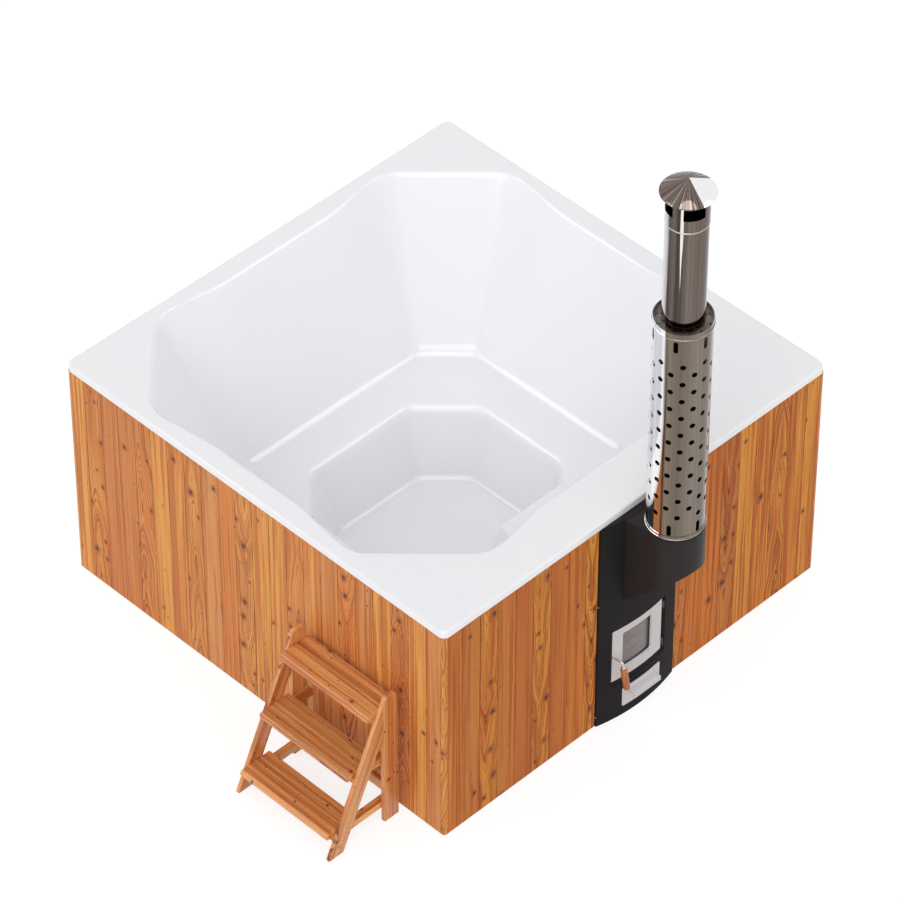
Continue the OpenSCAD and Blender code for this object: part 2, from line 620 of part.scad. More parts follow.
// Ash drawer in its chamber under the firebox
drawer_plate = [-94, 50, 110, 148];
drawer_box = [-80, 60, 96, 135];
chamber_b = [-95, 45, 111, 165 - rest];
drawer_back = face_y + 420;
chamber_back = drawer_back + 20;
drawer_sheet = 2;
sheet = 3;
runner_w = 10;
runner_l = chamber_back - face_y;
stand_w = 30;
shelf_b = [-80, 62];
shelf_z = 137;
shelf_out = bow_y - bow_r - 48;
shelf_t = 2.5;
shelf_lip = 18;

module ash_drawer_front() color(stainless) {
  intersection() {
    bow(bow_r + 2.9, bow_r + 0.4, drawer_plate);
    block(drawer_plate, 10);
  }
  difference() {
    translate([shelf_b[0], shelf_out, 0]) union() {
      translate([0, 0, shelf_z]) cube([shelf_b[1] - shelf_b[0], face_y - 30 - shelf_out, shelf_t]);
      translate([0, 0, shelf_z - shelf_lip]) cube([shelf_b[1] - shelf_b[0], shelf_t, shelf_lip + 2]);
    }
    translate([0, bow_y, 0]) cylinder(r = bow_r + 1.5, h = 300, $fn = 256);
  }
}

module drawer_plan(x0, x1, r, back) intersection() {
  translate([0, bow_y]) circle(r = r, $fn = 256);
  translate([x0, face_y - 60]) square([x1 - x0, back - face_y + 60]);
}
module ash_drawer_box() color(black_steel) difference() {
  translate([0, 0, drawer_box[1]]) linear_extrude(drawer_box[3] - drawer_box[1])
    drawer_plan(drawer_box[0], drawer_box[2], bow_r + 0.1, drawer_back);
  translate([0, 0, drawer_box[1] + drawer_sheet]) linear_extrude(drawer_box[3])
    drawer_plan(drawer_box[0] + drawer_sheet, drawer_box[2] - drawer_sheet, bow_r + 0.1 - drawer_sheet,
      drawer_back - drawer_sheet);
}

floor_hole = [-60, face_y + 100, 100, face_y + 350];
module ash_chamber() color(black_steel) {
  difference() {
    translate([0, 0, chamber_b[1]]) linear_extrude(chamber_b[3] - chamber_b[1])
      drawer_plan(chamber_b[0], chamber_b[2], bow_r - panel_t - rest, chamber_back);
    translate([0, 0, chamber_b[1] + sheet]) linear_extrude(chamber_b[3] - chamber_b[1] - 2 * sheet)
      drawer_plan(chamber_b[0] + sheet, chamber_b[2] - sheet, bow_r, chamber_back - sheet);
    translate([floor_hole[0], floor_hole[1], 100])
      cube([floor_hole[2] - floor_hole[0], floor_hole[3] - floor_hole[1], 100]);
  }
  for (x = [drawer_box[0], drawer_box[2] - runner_w])
    translate([x, face_y - 15, chamber_b[1] + 1])
      cube([runner_w, runner_l, drawer_box[1] - rest - chamber_b[1] - 1]);
}

module stove_stand() color(black_steel) for (x = [chamber_b[0], chamber_b[2] - stand_w])
  translate([x, face_y - 10, 0]) difference() {
    cube([stand_w, runner_l, chamber_b[1] - rest]);
    translate([sheet, -1, sheet]) cube([stand_w - 2 * sheet, runner_l + 2, chamber_b[1]]);
  }

// Firebox in a hollow water jacket; boxes are given as corner and size
firebox_z = chamber_b[3] + rest;
firebox_x = [-130, 170];
firebox_front = face_y + 15;
firebox_back = face_y + 540;
firebox_top = firebox_z + firebox_h;
duct_half = 65;
duct_front = face_y + 20;
duct_back = face_y + 130;
duct_edge = 10;
module between(a, b) translate(a) cube(b - a);

module hot_space(g) {
  between([firebox_x[0] + jacket_t - g, firebox_front + jacket_t - g, firebox_z + jacket_t - g],
    [firebox_x[1] - jacket_t + g, firebox_back - jacket_t + g, firebox_top - jacket_t + g]);
  between([throat_b[0] - g, firebox_front - 1, throat_b[1] - g],
    [throat_b[2] + g, firebox_front + jacket_t + 1, throat_b[3] + g]);
  between([floor_hole[0] - g, floor_hole[1] - g, firebox_z - 1],
    [floor_hole[2] + g, floor_hole[3] + g, firebox_z + jacket_t + 1]);
  between([chimney_x - duct_half + duct_edge - g, firebox_front + jacket_t + 2 - g,
    firebox_top - jacket_t - 1],
    [chimney_x + duct_half - duct_edge + g, duct_back - duct_edge + g, firebox_top + 1]);
}
module firebox() color(black_steel) difference() {
  between([firebox_x[0], firebox_front, firebox_z], [firebox_x[1], firebox_back, firebox_top]);
  difference() {
    between([firebox_x[0] + sheet, firebox_front + sheet, firebox_z + sheet],
      [firebox_x[1] - sheet, firebox_back - sheet, firebox_top - sheet]);
    hot_space(sheet);
  }
  hot_space(0);
  for (i = [0, 1]) port_place(i) translate([0, 0, -port_run(i) - 12])
    cylinder(r = pipe_r + rest, h = 40, $fn = 64);
}

grate_h = 9;
grate_lap = 15;
grate_slot = 12;
grate_pitch = 22;
module fire_grate() color(black_steel) difference() {
  between([floor_hole[0] - grate_lap, floor_hole[1] - grate_lap, firebox_z + jacket_t + rest],
    [floor_hole[2] + grate_lap, floor_hole[3] + grate_lap, firebox_z + jacket_t + rest + grate_h]);
  for (i = [0:6]) translate([floor_hole[0] + 5 + i * grate_pitch, floor_hole[1] + 5, firebox_z])
    cube([grate_slot, floor_hole[3] - floor_hole[1] - 10, 100]);
}

// Smoke duct: riser from the firebox, then forward through the panel to the chimney's foot; the riser's
// front wall is open where the two meet
duct_top = 880;
duct_sheet = 2;
flue_low_r = 70;
flue_sheet = 1.5;
collar_bore = 66;
module duct_room(d) {
  between([chimney_x - duct_half + d, duct_front + d, firebox_top + rest - (d > 0 ? 5 : 0)],
    [chimney_x + duct_half - d, duct_back - d, duct_top - d]);
  intersection() {
    translate([chimney_x, chimney_y, 500]) linear_extrude(duct_top - d - 500) polygon(concat(
      [[-duct_half + d, duct_front - chimney_y + 2 * d + 1]],
      arc([0, 0], duct_half + 5 - d, 180, 360, 36), [[duct_half - d, duct_front - chimney_y + 2 * d + 1]]));
    above_slant(15 + d * 1.4, duct_top - d);
  }
  if (d > 0) between([chimney_x - duct_half + d, duct_front - 1, hood_under(duct_front) + 15 + d * 1.4],
    [chimney_x + duct_half - d, duct_front + d + 1, duct_top - d]);
}
module smoke_duct() color(black_steel) {
  difference() {
    duct_room(0);
    duct_room(duct_sheet);
    translate([chimney_x, chimney_y, duct_top - 20]) cylinder(r = collar_bore, h = 40, $fn = 96);
  }
  translate([chimney_x, chimney_y, duct_top - duct_sheet]) difference() {
    cylinder(r = flue_low_r - flue_sheet - rest, h = 27, $fn = 96);
    translate([0, 0, -1]) cylinder(r = collar_bore, h = 40, $fn = 96);
  }
}

// Chimney, from the duct up: flue, perforated guard with rings, spacer, upper flue, band, cap
guard_z = clad_h + 2 * rest;
guard_top = guard_z + guard_h;
guard_sheet = 1.2;
hole_r = 11;
hole_cols = 16;
hole_low = 116;
hole_pitch = 81.4;
hole_rows = floor((guard_h - 2 * hole_low - 30) / hole_pitch) + 1;
slot_w = 17;
slot_l = 52;
slot_low = 49;
slot_high = guard_h - 62;
seam_z = guard_top + flue_h;
sleeve_h = 139;
cone_rise = 58;
cone_slope = cone_rise / cone_r;
cone_apex = seam_z + sleeve_h + 48;
cone_sheet = 1.4;
sleeve_r = flue_r + 1.5;
cap_turn = 242;

module chimney() translate([chimney_x, chimney_y, 0]) children();
module pipe(r, t, z0, z1) translate([0, 0, z0]) difference() {
  cylinder(r = r, h = z1 - z0, $fn = 128);
  translate([0, 0, -1]) cylinder(r = r - t, h = z1 - z0 + 2, $fn = 128);
}
module across(a, z) translate([0, 0, z]) rotate(a) rotate([0, 90, 0]) children();

module flue_lower() color(stainless) chimney() pipe(flue_low_r, flue_sheet, duct_top + rest, guard_top + 40);

module guard() color(stainless) chimney() difference() {
  pipe(guard_r, guard_sheet, guard_z, guard_top);
  for (k = [0:hole_cols / 2 - 1], i = [0:hole_rows - 1 - k % 2])
    across(k * 360 / hole_cols, guard_z + hole_low + (i + (k % 2) / 2) * hole_pitch)
      translate([0, 0, -guard_r - 5]) cylinder(r = hole_r, h = 2 * guard_r + 10, $fn = 32);
  for (a = [30, 90, 150], z = [slot_low, slot_high]) across(a, guard_z + z) {
    for (e = [-1, 1]) translate([e * (slot_l - slot_w) / 2, 0, -guard_r - 5])
      cylinder(r = slot_w / 2, h = 2 * guard_r + 10, $fn = 32);
    translate([-(slot_l - slot_w) / 2, -slot_w / 2, -guard_r - 5])
      cube([slot_l - slot_w, slot_w, 2 * guard_r + 10]);
  }
}

// Rolled ring: flat band with a round bead
function ring_profile(z0, h, bead) = concat([[guard_r + rest, z0], [guard_r + 1.6, z0]],
  arc([guard_r + 1.6, bead], 3.2, -80, 80, 8), [[guard_r + 1.6, z0 + h], [guard_r + rest, z0 + h]]);
module guard_rings() color(stainless) chimney() for (p = [[guard_z, 21, guard_z + 8],
    [guard_top - 26, 26, guard_top - 7]])
  rotate_extrude($fn = 128) polygon(ring_profile(p[0], p[1], p[2]));

spacer_z = guard_top - 24;
module spacer_ring() color(stainless) chimney() difference() {
  union() {
    pipe(guard_r - guard_sheet - rest, guard_r - guard_sheet - flue_low_r - 2 * rest, spacer_z, spacer_z + 3);
    pipe(flue_r, guard_sheet, spacer_z + 1, guard_top + 7);
  }
  for (a = [0:30:330]) rotate(a) {
    translate([flue_r - 10, -13, guard_top - 14]) cube([20, 26, 14]);
    translate([flue_r + 4.5, -3, spacer_z - 5]) cube([6, 6, 20]);
    translate([flue_r + 15, -8, spacer_z - 5]) cube([7, 16, 20]);
  }
}

module flue_upper() color(stainless) chimney() pipe(flue_r, guard_sheet, guard_top + 7 + rest, seam_z + 35);
module flue_band() color(stainless) chimney() pipe(sleeve_r + 0.9, 2.1, seam_z - 3, seam_z + 3);
module cap_sleeve() color(stainless) chimney() difference() {
  pipe(sleeve_r, guard_sheet, seam_z + 3 + rest, cone_apex - sleeve_r * cone_slope - 2 * cone_sheet);
  for (k = [0:3]) rotate(cap_turn + 90 * k) translate([0, 0, seam_z + 55])
    rotate_extrude(angle = 60, start = -30, $fn = 96) translate([sleeve_r - 6, 0]) square([12, 50]);
}
module cap_cone() color(stainless) chimney() rotate_extrude($fn = 128) polygon([
  [0, cone_apex], [cone_r, cone_apex - cone_rise], [cone_r, cone_apex - cone_rise - 3],
  [cone_r - 1.4, cone_apex - cone_rise - 3], [cone_r - 1.4, cone_apex - cone_rise - cone_sheet],
  [0, cone_apex - 1.6]]);

// Steps standing free beside the tub; side outlines are in X and Z
side_t = 20;
step_gap = 30;
step_y = -543.5;
post_back = -half_w - step_gap;
post_d = 75;
post_front = post_back - post_d;
leg_foot = post_back - 359;
leg_lean = 0.459;
leg_d = 74;
tread_t = 28;
nose_out = 47;
cleat_w = 32;
cleat_h = 30;
nose_r = 13;
post_round = [24, 28];
cross_rail = [28, 45];
cross_rail_z = 139;
tread_tops = [for (i = [0:2]) tread_h - i * tread_drop];
function leg_edge(z) = leg_foot + leg_lean * z;
step_in = step_w / 2 - side_t;

module side_plate(pts, y) translate([0, y + side_t, 0]) rotate([90, 0, 0])
  linear_extrude(side_t) polygon(pts);
module both_sides(pts) for (y = [step_y - step_w / 2, step_y + step_in]) side_plate(pts, y);

module step_legs() color(step_wood) both_sides([[leg_foot, 0], [leg_foot + leg_d, 0],
  [post_front - rest, (post_front - leg_foot - leg_d) / leg_lean],
  [post_front - rest, (post_front - leg_foot) / leg_lean]]);
module step_posts() color(step_wood) both_sides(concat([[post_front, 0], [post_back, 0]],
  arc([post_back - post_round[0], step_h - post_round[0]], post_round[0], 0, 90, 8),
  arc([post_front + post_round[1], step_h - post_round[1]], post_round[1], 90, 180, 8)));

// Tread with a rounded nose, between the side frames
module tread(top) {
  nose = leg_edge(top) - nose_out;
  translate([0, step_y + step_in - rest, top - tread_t]) rotate([90, 0, 0])
    linear_extrude(2 * (step_in - rest)) polygon(concat(
      arc([nose + nose_r, tread_t - nose_r], nose_r, 180, 90, 8),
      [[nose + tread_d, tread_t], [nose + tread_d, 0]],
      arc([nose + 9, 9], 9, 270, 180, 6)));
}
module step_tread_top() color(step_wood) tread(tread_tops[0]);
module step_tread_middle() color(step_wood) tread(tread_tops[1]);
module step_tread_bottom() color(step_wood) tread(tread_tops[2]);
module step_cleats() color(step_wood) for (top = tread_tops, side = [0, 1]) {
  z = top - tread_t - rest - cleat_h;
  y = side == 0 ? step_y - step_in + rest : step_y + step_in - rest - cleat_w;
  translate([leg_edge(z) + 14, y, z]) cube([post_back - leg_edge(z) - 14, cleat_w, cleat_h]);
}
module step_cross_rail() color(step_wood)
  translate([post_front + 15, step_y - step_in + rest, cross_rail_z])
    cube([cross_rail[0], 2 * (step_in - rest), cross_rail[1]]);

shell();
corner_trims();
cladding_left();
cladding_right();
cladding_back();
cladding_front_left();
cladding_front_right();
corner_posts();
studs();
top_rails();
mid_rails();
bottom_rails();
base_joists();
drain_fitting();
drain_nut();
drain_pipe();
drain_valve();
valve_ball();
valve_lever();
water_ports();
port_nuts();
circulation_pipes();
stove_panel();
panel_cap();
panel_screws();
hood();
door_surround();
door_frame();
door_glass();
glass_retainer();
door_seal();
hinge_pins();
latch_rod();
latch_grip();
latch_catch();
ash_drawer_front();
ash_drawer_box();
ash_chamber();
firebox();
fire_grate();
stove_stand();
smoke_duct();
flue_lower();
guard();
guard_rings();
spacer_ring();
flue_upper();
flue_band();
cap_sleeve();
cap_cone();
step_legs();
step_posts();
step_tread_top();
step_tread_middle();
step_tread_bottom();
step_cleats();
step_cross_rail();
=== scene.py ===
import json
import math

import bmesh
import bpy
import numpy as np
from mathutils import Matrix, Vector


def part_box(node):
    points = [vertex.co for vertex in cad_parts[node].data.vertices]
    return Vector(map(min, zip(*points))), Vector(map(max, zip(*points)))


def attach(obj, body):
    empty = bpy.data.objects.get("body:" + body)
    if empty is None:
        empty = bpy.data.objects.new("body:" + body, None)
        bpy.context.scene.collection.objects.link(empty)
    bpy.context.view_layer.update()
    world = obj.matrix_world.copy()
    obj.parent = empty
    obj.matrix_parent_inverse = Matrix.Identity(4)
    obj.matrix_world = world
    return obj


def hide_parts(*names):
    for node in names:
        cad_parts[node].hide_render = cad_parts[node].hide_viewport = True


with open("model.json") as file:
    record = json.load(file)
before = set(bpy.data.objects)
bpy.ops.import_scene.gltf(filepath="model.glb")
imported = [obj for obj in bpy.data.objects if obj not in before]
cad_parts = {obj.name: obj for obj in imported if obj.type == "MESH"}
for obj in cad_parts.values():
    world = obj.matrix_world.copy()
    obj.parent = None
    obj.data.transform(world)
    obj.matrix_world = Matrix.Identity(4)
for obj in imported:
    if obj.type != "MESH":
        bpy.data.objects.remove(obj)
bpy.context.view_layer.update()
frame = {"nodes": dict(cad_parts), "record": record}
scene = bpy.context.scene
mm = 0.001
print("frame loaded:", len(frame["nodes"]), "nodes")


# A value on its way through a node tree. Arithmetic on it adds Math nodes
class Flow:
    def __init__(self, tree, socket):
        self.tree = tree
        self.socket = socket


def addNode(tree, kind, inputs=None, **settings):
    made = tree.nodes.new(kind)
    for name, value in settings.items():
        setattr(made, name, value)
    for key, value in (inputs or {}).items():
        if isinstance(value, Flow):
            tree.links.new(value.socket, made.inputs[key])
        else:
            made.inputs[key].default_value = value
    return made


def flow(tree, kind, inputs=None, output=0, **settings):
    return Flow(tree, addNode(tree, kind, inputs, **settings).outputs[output])


def treeOf(*values):
    return next((value.tree for value in values if isinstance(value, Flow)), None)


def calc(operation, *values):
    return flow(treeOf(*values), "ShaderNodeMath", dict(enumerate(values)), operation=operation)


def operator(operation, turned=False):
    if turned:
        return lambda a, b: calc(operation, b, a)
    return lambda a, b: calc(operation, a, b)


for sign, operation in (("add", "ADD"), ("sub", "SUBTRACT"), ("mul", "MULTIPLY"), ("truediv", "DIVIDE"),
                        ("mod", "FLOORED_MODULO")):
    setattr(Flow, f"__{sign}__", operator(operation))
    setattr(Flow, f"__r{sign}__", operator(operation, True))
Flow.__lt__ = operator("LESS_THAN")
Flow.__gt__ = operator("GREATER_THAN")
Flow.__abs__ = lambda value: calc("ABSOLUTE", value)


def blendColor(factor, a, b, mode="MIX"):
    inputs = {0: factor, 6: a, 7: b}
    return flow(treeOf(factor, a, b), "ShaderNodeMix", inputs, 2, data_type="RGBA", blend_type=mode)


def ramp(factor, stops):
    made = addNode(factor.tree, "ShaderNodeValToRGB", {0: factor})
    band = made.color_ramp
    while len(band.elements) < len(stops):
        band.elements.new(0.5)
    for element, (place, color) in zip(band.elements, stops):
        element.position = place
        element.color = color if not isinstance(color, (int, float)) else (color, color, color, 1)
    return Flow(factor.tree, made.outputs[0])


def smoothStep(value, low, high, outLow=0.0, outHigh=1.0):
    return flow(value.tree, "ShaderNodeMapRange", {"Value": value, "From Min": low, "From Max": high,
                "To Min": outLow, "To Max": outHigh}, interpolation_type="SMOOTHSTEP")


def noiseAt(place, scale=1.0, detail=2.0, roughness=0.5):
    return flow(place.tree, "ShaderNodeTexNoise", {"Vector": place, "Scale": scale, "Detail": detail,
                "Roughness": roughness, "Distortion": 0.0})


def point(x, y, z):
    tree = treeOf(x, y, z)
    return flow(tree, "ShaderNodeCombineXYZ", {0: x, 1: y, 2: z}) if tree else (x, y, z)


def parts(vector):
    made = addNode(vector.tree, "ShaderNodeSeparateXYZ", {0: vector})
    return [Flow(vector.tree, socket) for socket in made.outputs]


def scaled(vector, factor):
    return flow(treeOf(vector, factor), "ShaderNodeVectorMath", {0: vector, 3: factor}, operation="SCALE")


# Direction away from the Z axis, as a point on a circle: noise taken there closes on itself
def roundPlace(place, radius):
    flat = point(place[0], place[1], 0.0)
    return scaled(flow(flat.tree, "ShaderNodeVectorMath", {0: flat}, operation="NORMALIZE"), radius)


def objectPlace(tree, centre=(0, 0, 0), scale=(1, 1, 1)):
    shift = tuple(-c * s for c, s in zip(centre, scale))
    place = flow(tree, "ShaderNodeTexCoord", output="Object")
    return flow(tree, "ShaderNodeMapping", {"Vector": place, "Location": shift, "Scale": scale})


def bump(height, strength, distance=0.001):
    return flow(height.tree, "ShaderNodeBump", {"Strength": strength, "Distance": distance, "Height": height})


def toOutput(value, kind):
    out = value.tree.nodes.new("ShaderNodeOutput" + kind)
    value.tree.links.new(value.socket, out.inputs[0])


# sRGB 0-255 to the linear colour that nodes take
def paint(red, green, blue):
    def linear(level):
        level = level / 255
        return level / 12.92 if level <= 0.04045 else ((level + 0.055) / 1.055) ** 2.4
    return (linear(red), linear(green), linear(blue), 1.0)


def newMaterial(name):
    made = bpy.data.materials.new(name)
    made.use_nodes = True
    tree = made.node_tree
    tree.nodes.clear()
    return made, tree


def finishMaterial(tree, **inputs):
    names = {key.replace("_", " "): value for key, value in inputs.items()}
    toOutput(flow(tree, "ShaderNodeBsdfPrincipled", names), "Material")


# Camera, lamps and floor
cameraSizes = {"azimuth": -44.78, "elevation": 43.42, "distance": 20.236,
               "target": (0.0527, 0.0311, 0.5626), "lens": 212.9, "sensor": 36}
lampSizes = {"keyStrength": 0.75, "keyAngle": 40, "keyFrom": (-0.68, -0.42, 0.60),
             "keyColor": (1.0, 0.99, 0.97), "worldLow": 0.93, "worldHigh": 0.70,
             "worldColor": (0.985, 0.985, 1.0, 1), "glossAngle": 32, "glossStrength": 0.62,
             "glossFrom": [(-0.50, 0.51, 0.70), (0.51, -0.50, 0.70), (-0.12, -0.12, 0.98)]}

floorSizes = {"half": 60, "glow": 0.78, "lit": 0.34, "bounce": 0.80}


def newPiece(name, points, faces, material):
    mesh = bpy.data.meshes.new(name)
    mesh.from_pydata(points, [], faces)
    mesh.update()
    mesh.materials.append(material)
    piece = bpy.data.objects.new(name, mesh)
    scene.collection.objects.link(piece)
    return piece


def makeCamera(sizes):
    azimuth = math.radians(sizes["azimuth"])
    elevation = math.radians(sizes["elevation"])
    back = Vector((math.sin(azimuth) * math.cos(elevation), -math.cos(azimuth) * math.cos(elevation),
                   math.sin(elevation)))
    data = bpy.data.cameras.new("photoCamera")
    data.lens = sizes["lens"]
    data.sensor_width = sizes["sensor"]
    data.clip_end = 200
    camera = bpy.data.objects.new("photoCamera", data)
    scene.collection.objects.link(camera)
    camera.location = Vector(sizes["target"]) + back * sizes["distance"]
    camera.rotation_mode = "QUATERNION"
    camera.rotation_quaternion = (-back).to_track_quat("-Z", "Y")
    scene.camera = camera


def makeSun(name, strength, angle, comesFrom, color=(1, 1, 1), glossOnly=False):
    data = bpy.data.lights.new(name, "SUN")
    data.energy = strength
    data.angle = math.radians(angle)
    data.color = color
    lamp = bpy.data.objects.new(name, data)
    scene.collection.objects.link(lamp)
    lamp.rotation_mode = "QUATERNION"
    lamp.rotation_quaternion = (-Vector(comesFrom)).to_track_quat("-Z", "Y")
    lamp.visible_diffuse = not glossOnly


# 1 for rays that should see a white background: camera, mirror and glass rays
def seesBackground(tree):
    path = addNode(tree, "ShaderNodeLightPath")
    kinds = ("Is Camera Ray", "Is Glossy Ray", "Is Transmission Ray")
    camera, glossy, through = (Flow(tree, path.outputs[kind]) for kind in kinds)
    return calc("MAXIMUM", calc("MAXIMUM", camera, glossy), through)


def makeWorld(sizes):
    world = bpy.data.worlds.new("studio")
    world.use_nodes = True
    tree = world.node_tree
    tree.nodes.clear()
    height = parts(flow(tree, "ShaderNodeTexCoord", output="Generated"))[2]
    strength = smoothStep(height, 0.0, 1.0, sizes["worldLow"], sizes["worldHigh"])
    soft = flow(tree, "ShaderNodeBackground", {"Color": sizes["worldColor"], "Strength": strength})
    white = flow(tree, "ShaderNodeBackground", {"Color": (1, 1, 1, 1), "Strength": 1.0})
    toOutput(flow(tree, "ShaderNodeMixShader", {0: seesBackground(tree), 1: soft, 2: white}), "World")
    scene.world = world


# The floor: white to the eye, with the shadow kept, and a plain grey to the light that bounces off it
def makeFloor(s):
    corners = [(x * s["half"], y * s["half"], 0) for x, y in ((-1, -1), (1, -1), (1, 1), (-1, 1))]
    material, tree = newMaterial("floorWhite")
    bounce = flow(tree, "ShaderNodeBsdfDiffuse", {"Color": (s["bounce"], s["bounce"], s["bounce"], 1)})
    shade = flow(tree, "ShaderNodeBsdfDiffuse", {"Color": (s["lit"], s["lit"], s["lit"], 1)})
    light = flow(tree, "ShaderNodeEmission", {"Color": (1, 1, 1, 1), "Strength": s["glow"]})
    seen = flow(tree, "ShaderNodeAddShader", {0: shade, 1: light})
    toOutput(flow(tree, "ShaderNodeMixShader", {0: seesBackground(tree), 1: bounce, 2: seen}), "Material")
    newPiece("floor", corners, [(0, 1, 2, 3)], material)


makeCamera(cameraSizes)
makeSun("keyLamp", *(lampSizes[key] for key in ("keyStrength", "keyAngle", "keyFrom", "keyColor")))
for number, comesFrom in enumerate(lampSizes["glossFrom"]):
    makeSun(f"glossLamp{number}", lampSizes["glossStrength"], lampSizes["glossAngle"], comesFrom,
            glossOnly=True)
makeWorld(lampSizes)
makeFloor(floorSizes)
scene.view_settings.view_transform = "Standard"
print("camera, lamps and floor made")


# Oiled softwood. Every wooden piece carries what it reads: grainAt (across, depth, along; metres), grainSeed
def woodMaterial(name, look):
    material, tree = newMaterial(name)
    look = {key: paint(*value) if isinstance(value, tuple) else value for key, value in look.items()}
    across, depth, along = parts(flow(tree, "ShaderNodeAttribute", output="Vector", attribute_name="grainAt"))
    seed = flow(tree, "ShaderNodeAttribute", output="Fac", attribute_name="grainSeed")
    first, second = (parts(flow(tree, "ShaderNodeTexWhiteNoise", {"W": number}, 1, noise_dimensions="1D"))
                     for number in (seed, seed + 0.37))
    # one board in flatEvery is flat-sawn, with arches and knots; the others have straight grain
    turn = calc("FRACT", (seed + look["flatFirst"]) / look["flatEvery"])
    flat = turn < 0.99 / look["flatEvery"]
    offset = seed * 7.31

    def eitherWay(forPlain, forFlat):
        return flat * (forFlat - forPlain) + forPlain

    # the two sizes of knot: how far the nearest one is, and how big, or 0 where there is none
    def knots(cell, stretch, smallest, biggest, share, salt):
        spot = point(across * (1 / cell) + (offset + salt), along * (1 / (cell * stretch)) + salt * 3, 0.0)
        cells = addNode(tree, "ShaderNodeTexVoronoi", {"Vector": spot, "Scale": 1.0, "Randomness": 0.85},
                        voronoi_dimensions="2D", feature="F1")
        gap, color = (Flow(tree, cells.outputs[key]) for key in ("Distance", "Color"))
        luck = parts(color)
        size = luck[0] * (biggest - smallest) + smallest
        return gap * cell, size * (luck[1] < share)

    bigGap, bigSize = knots(0.10, 1.2, look["knotSmall"], look["knotBig"],
                            eitherWay(look["knotPlain"], look["knotFlat"]), 3.7)
    pinGap, pinSize = knots(0.05, 1.7, 0.001, look["pinSize"], look["pinShare"], 9.1)
    near = bigGap / (bigSize * 1.9 + 0.004)
    pull = 1.0 / (near * near + 1.0)
    push = pull * (bigSize * 1.3)

    # rings: distance from the heart of the log, just behind the face of a flat-sawn board and far beside the
    # others; the log tapers, so that rings leave the face as long open arches
    slow = point(offset, along * look["wanderRate"], 0.0)
    wander = (noiseAt(slow, 1.0, 1.0) - 0.5) * look["wander"]
    swell = (noiseAt(slow, 1.3, 1.5) - 0.5) * look["swell"]
    side = flat * (first[0] * 0.04 - 0.02 + wander)
    aside = first[0] * 0.16 + 0.1
    side = (1.0 - flat) * aside + side
    low = second[0] * 0.012 + look["heartBehind"] + depth
    x = across - side
    radius = calc("SQRT", x * x + low * low)
    way = (second[1] > 0.45) * 2.0 - 1.0
    taper = way * (second[2] * 0.5 + 0.75)
    rise = along * (taper * eitherWay(0.004, look["taper"]))
    rise = swell * flat + rise
    wobble = noiseAt(point(across * 18.0, offset, along * 6.0), 1.0, 3.0, 0.55)
    wave = (wobble - 0.5) * eitherWay(look["wave"] * 0.3, look["wave"])
    field = radius + rise + (wave + push)
    ringWidth = eitherWay(look["ringPlain"], look["ringFlat"])
    uneven = noiseAt(point(field * 60.0, offset, 0.0), 1.0, 2.0)
    count = uneven * 2.2 + field / ringWidth
    late = ramp(calc("FRACT", count), [(0.0, 0.05), (0.6, 0.1), (0.78, 1.0), (0.88, 1.0), (0.95, 0.05)])
    seasons = noiseAt(point(count * 0.45, offset, 5.0), 1.0, 2.0, 0.6)
    late = late * smoothStep(seasons, 0.36, 0.58, 0.35, 1.0)
    fibre = noiseAt(point(across * 900.0, depth * 900.0, along * 14.0 + offset), 1.0, 2.0, 0.6)
    streak = noiseAt(point(field * 55.0 + offset, offset, along * 0.9), 1.0, 3.0, 0.6)
    lines = noiseAt(point(field * 170.0, offset, along * 1.2), 1.0, 4.0, 0.7)
    blotch = noiseAt(point(across * 20.0, offset, along * 2.2), 1.0, 3.0, 0.6)

    # colours: each board lies somewhere between the four tints, with broad streaks of the redder heartwood
    golden = (blotch - 0.5) * 1.2 + first[1]
    tint = blendColor(smoothStep(golden, 0.25, 0.75), look["yellow"], look["orange"])
    other = blendColor(smoothStep(second[1], 0.3, 0.7), look["tan"], look["red"])
    tint = blendColor(smoothStep(first[2], look["darkFrom"], look["darkFrom"] + 0.15), tint, other)
    tint = blendColor(smoothStep(streak, 0.44, 0.62, 0.0, look["streak"]), tint, look["heart"])
    lateColor = blendColor(1.0, tint, look["late"], "MULTIPLY")
    strength = late * eitherWay(look["plainContrast"], look["flatContrast"])
    color = blendColor(strength, tint, lateColor)
    share = bigGap / (bigSize + 0.0001)
    pinShare = pinGap / (pinSize + 0.0001)
    for value, start, full, amount, tone in (
            (lines, 0.52, 0.66, look["lines"], "pore"), (fibre, 0.45, 0.8, look["fibre"], "pore"),
            (share, 2.6, 1.0, 0.65, "halo"), (share, 1.05, 0.6, 0.9, "knot"),
            (pinShare, 1.25, 0.6, 0.85, "knot")):
        color = blendColor(smoothStep(value, start, full, 0.0, amount), color, look[tone])
    if look["jointAt"]:
        edge = smoothStep(abs(across), look["jointAt"] - 0.0024, look["jointAt"])
        worn = smoothStep(noiseAt(point(offset, along * 7.0, 2.0)), 0.35, 0.6, 0.1, 0.75)
        color = blendColor(edge * worn, color, look["joint"])
    height = late * 0.5 + fibre * 0.5
    rough = smoothStep(fibre, 0.2, 0.8, look["rough"] - 0.06, look["rough"] + 0.08)
    finishMaterial(tree, Base_Color=color, Roughness=rough, Normal=bump(height, 0.25, 0.0006),
                   Specular_IOR_Level=look["gloss"], Coat_Weight=look["coat"], Coat_Roughness=0.3)
    return material


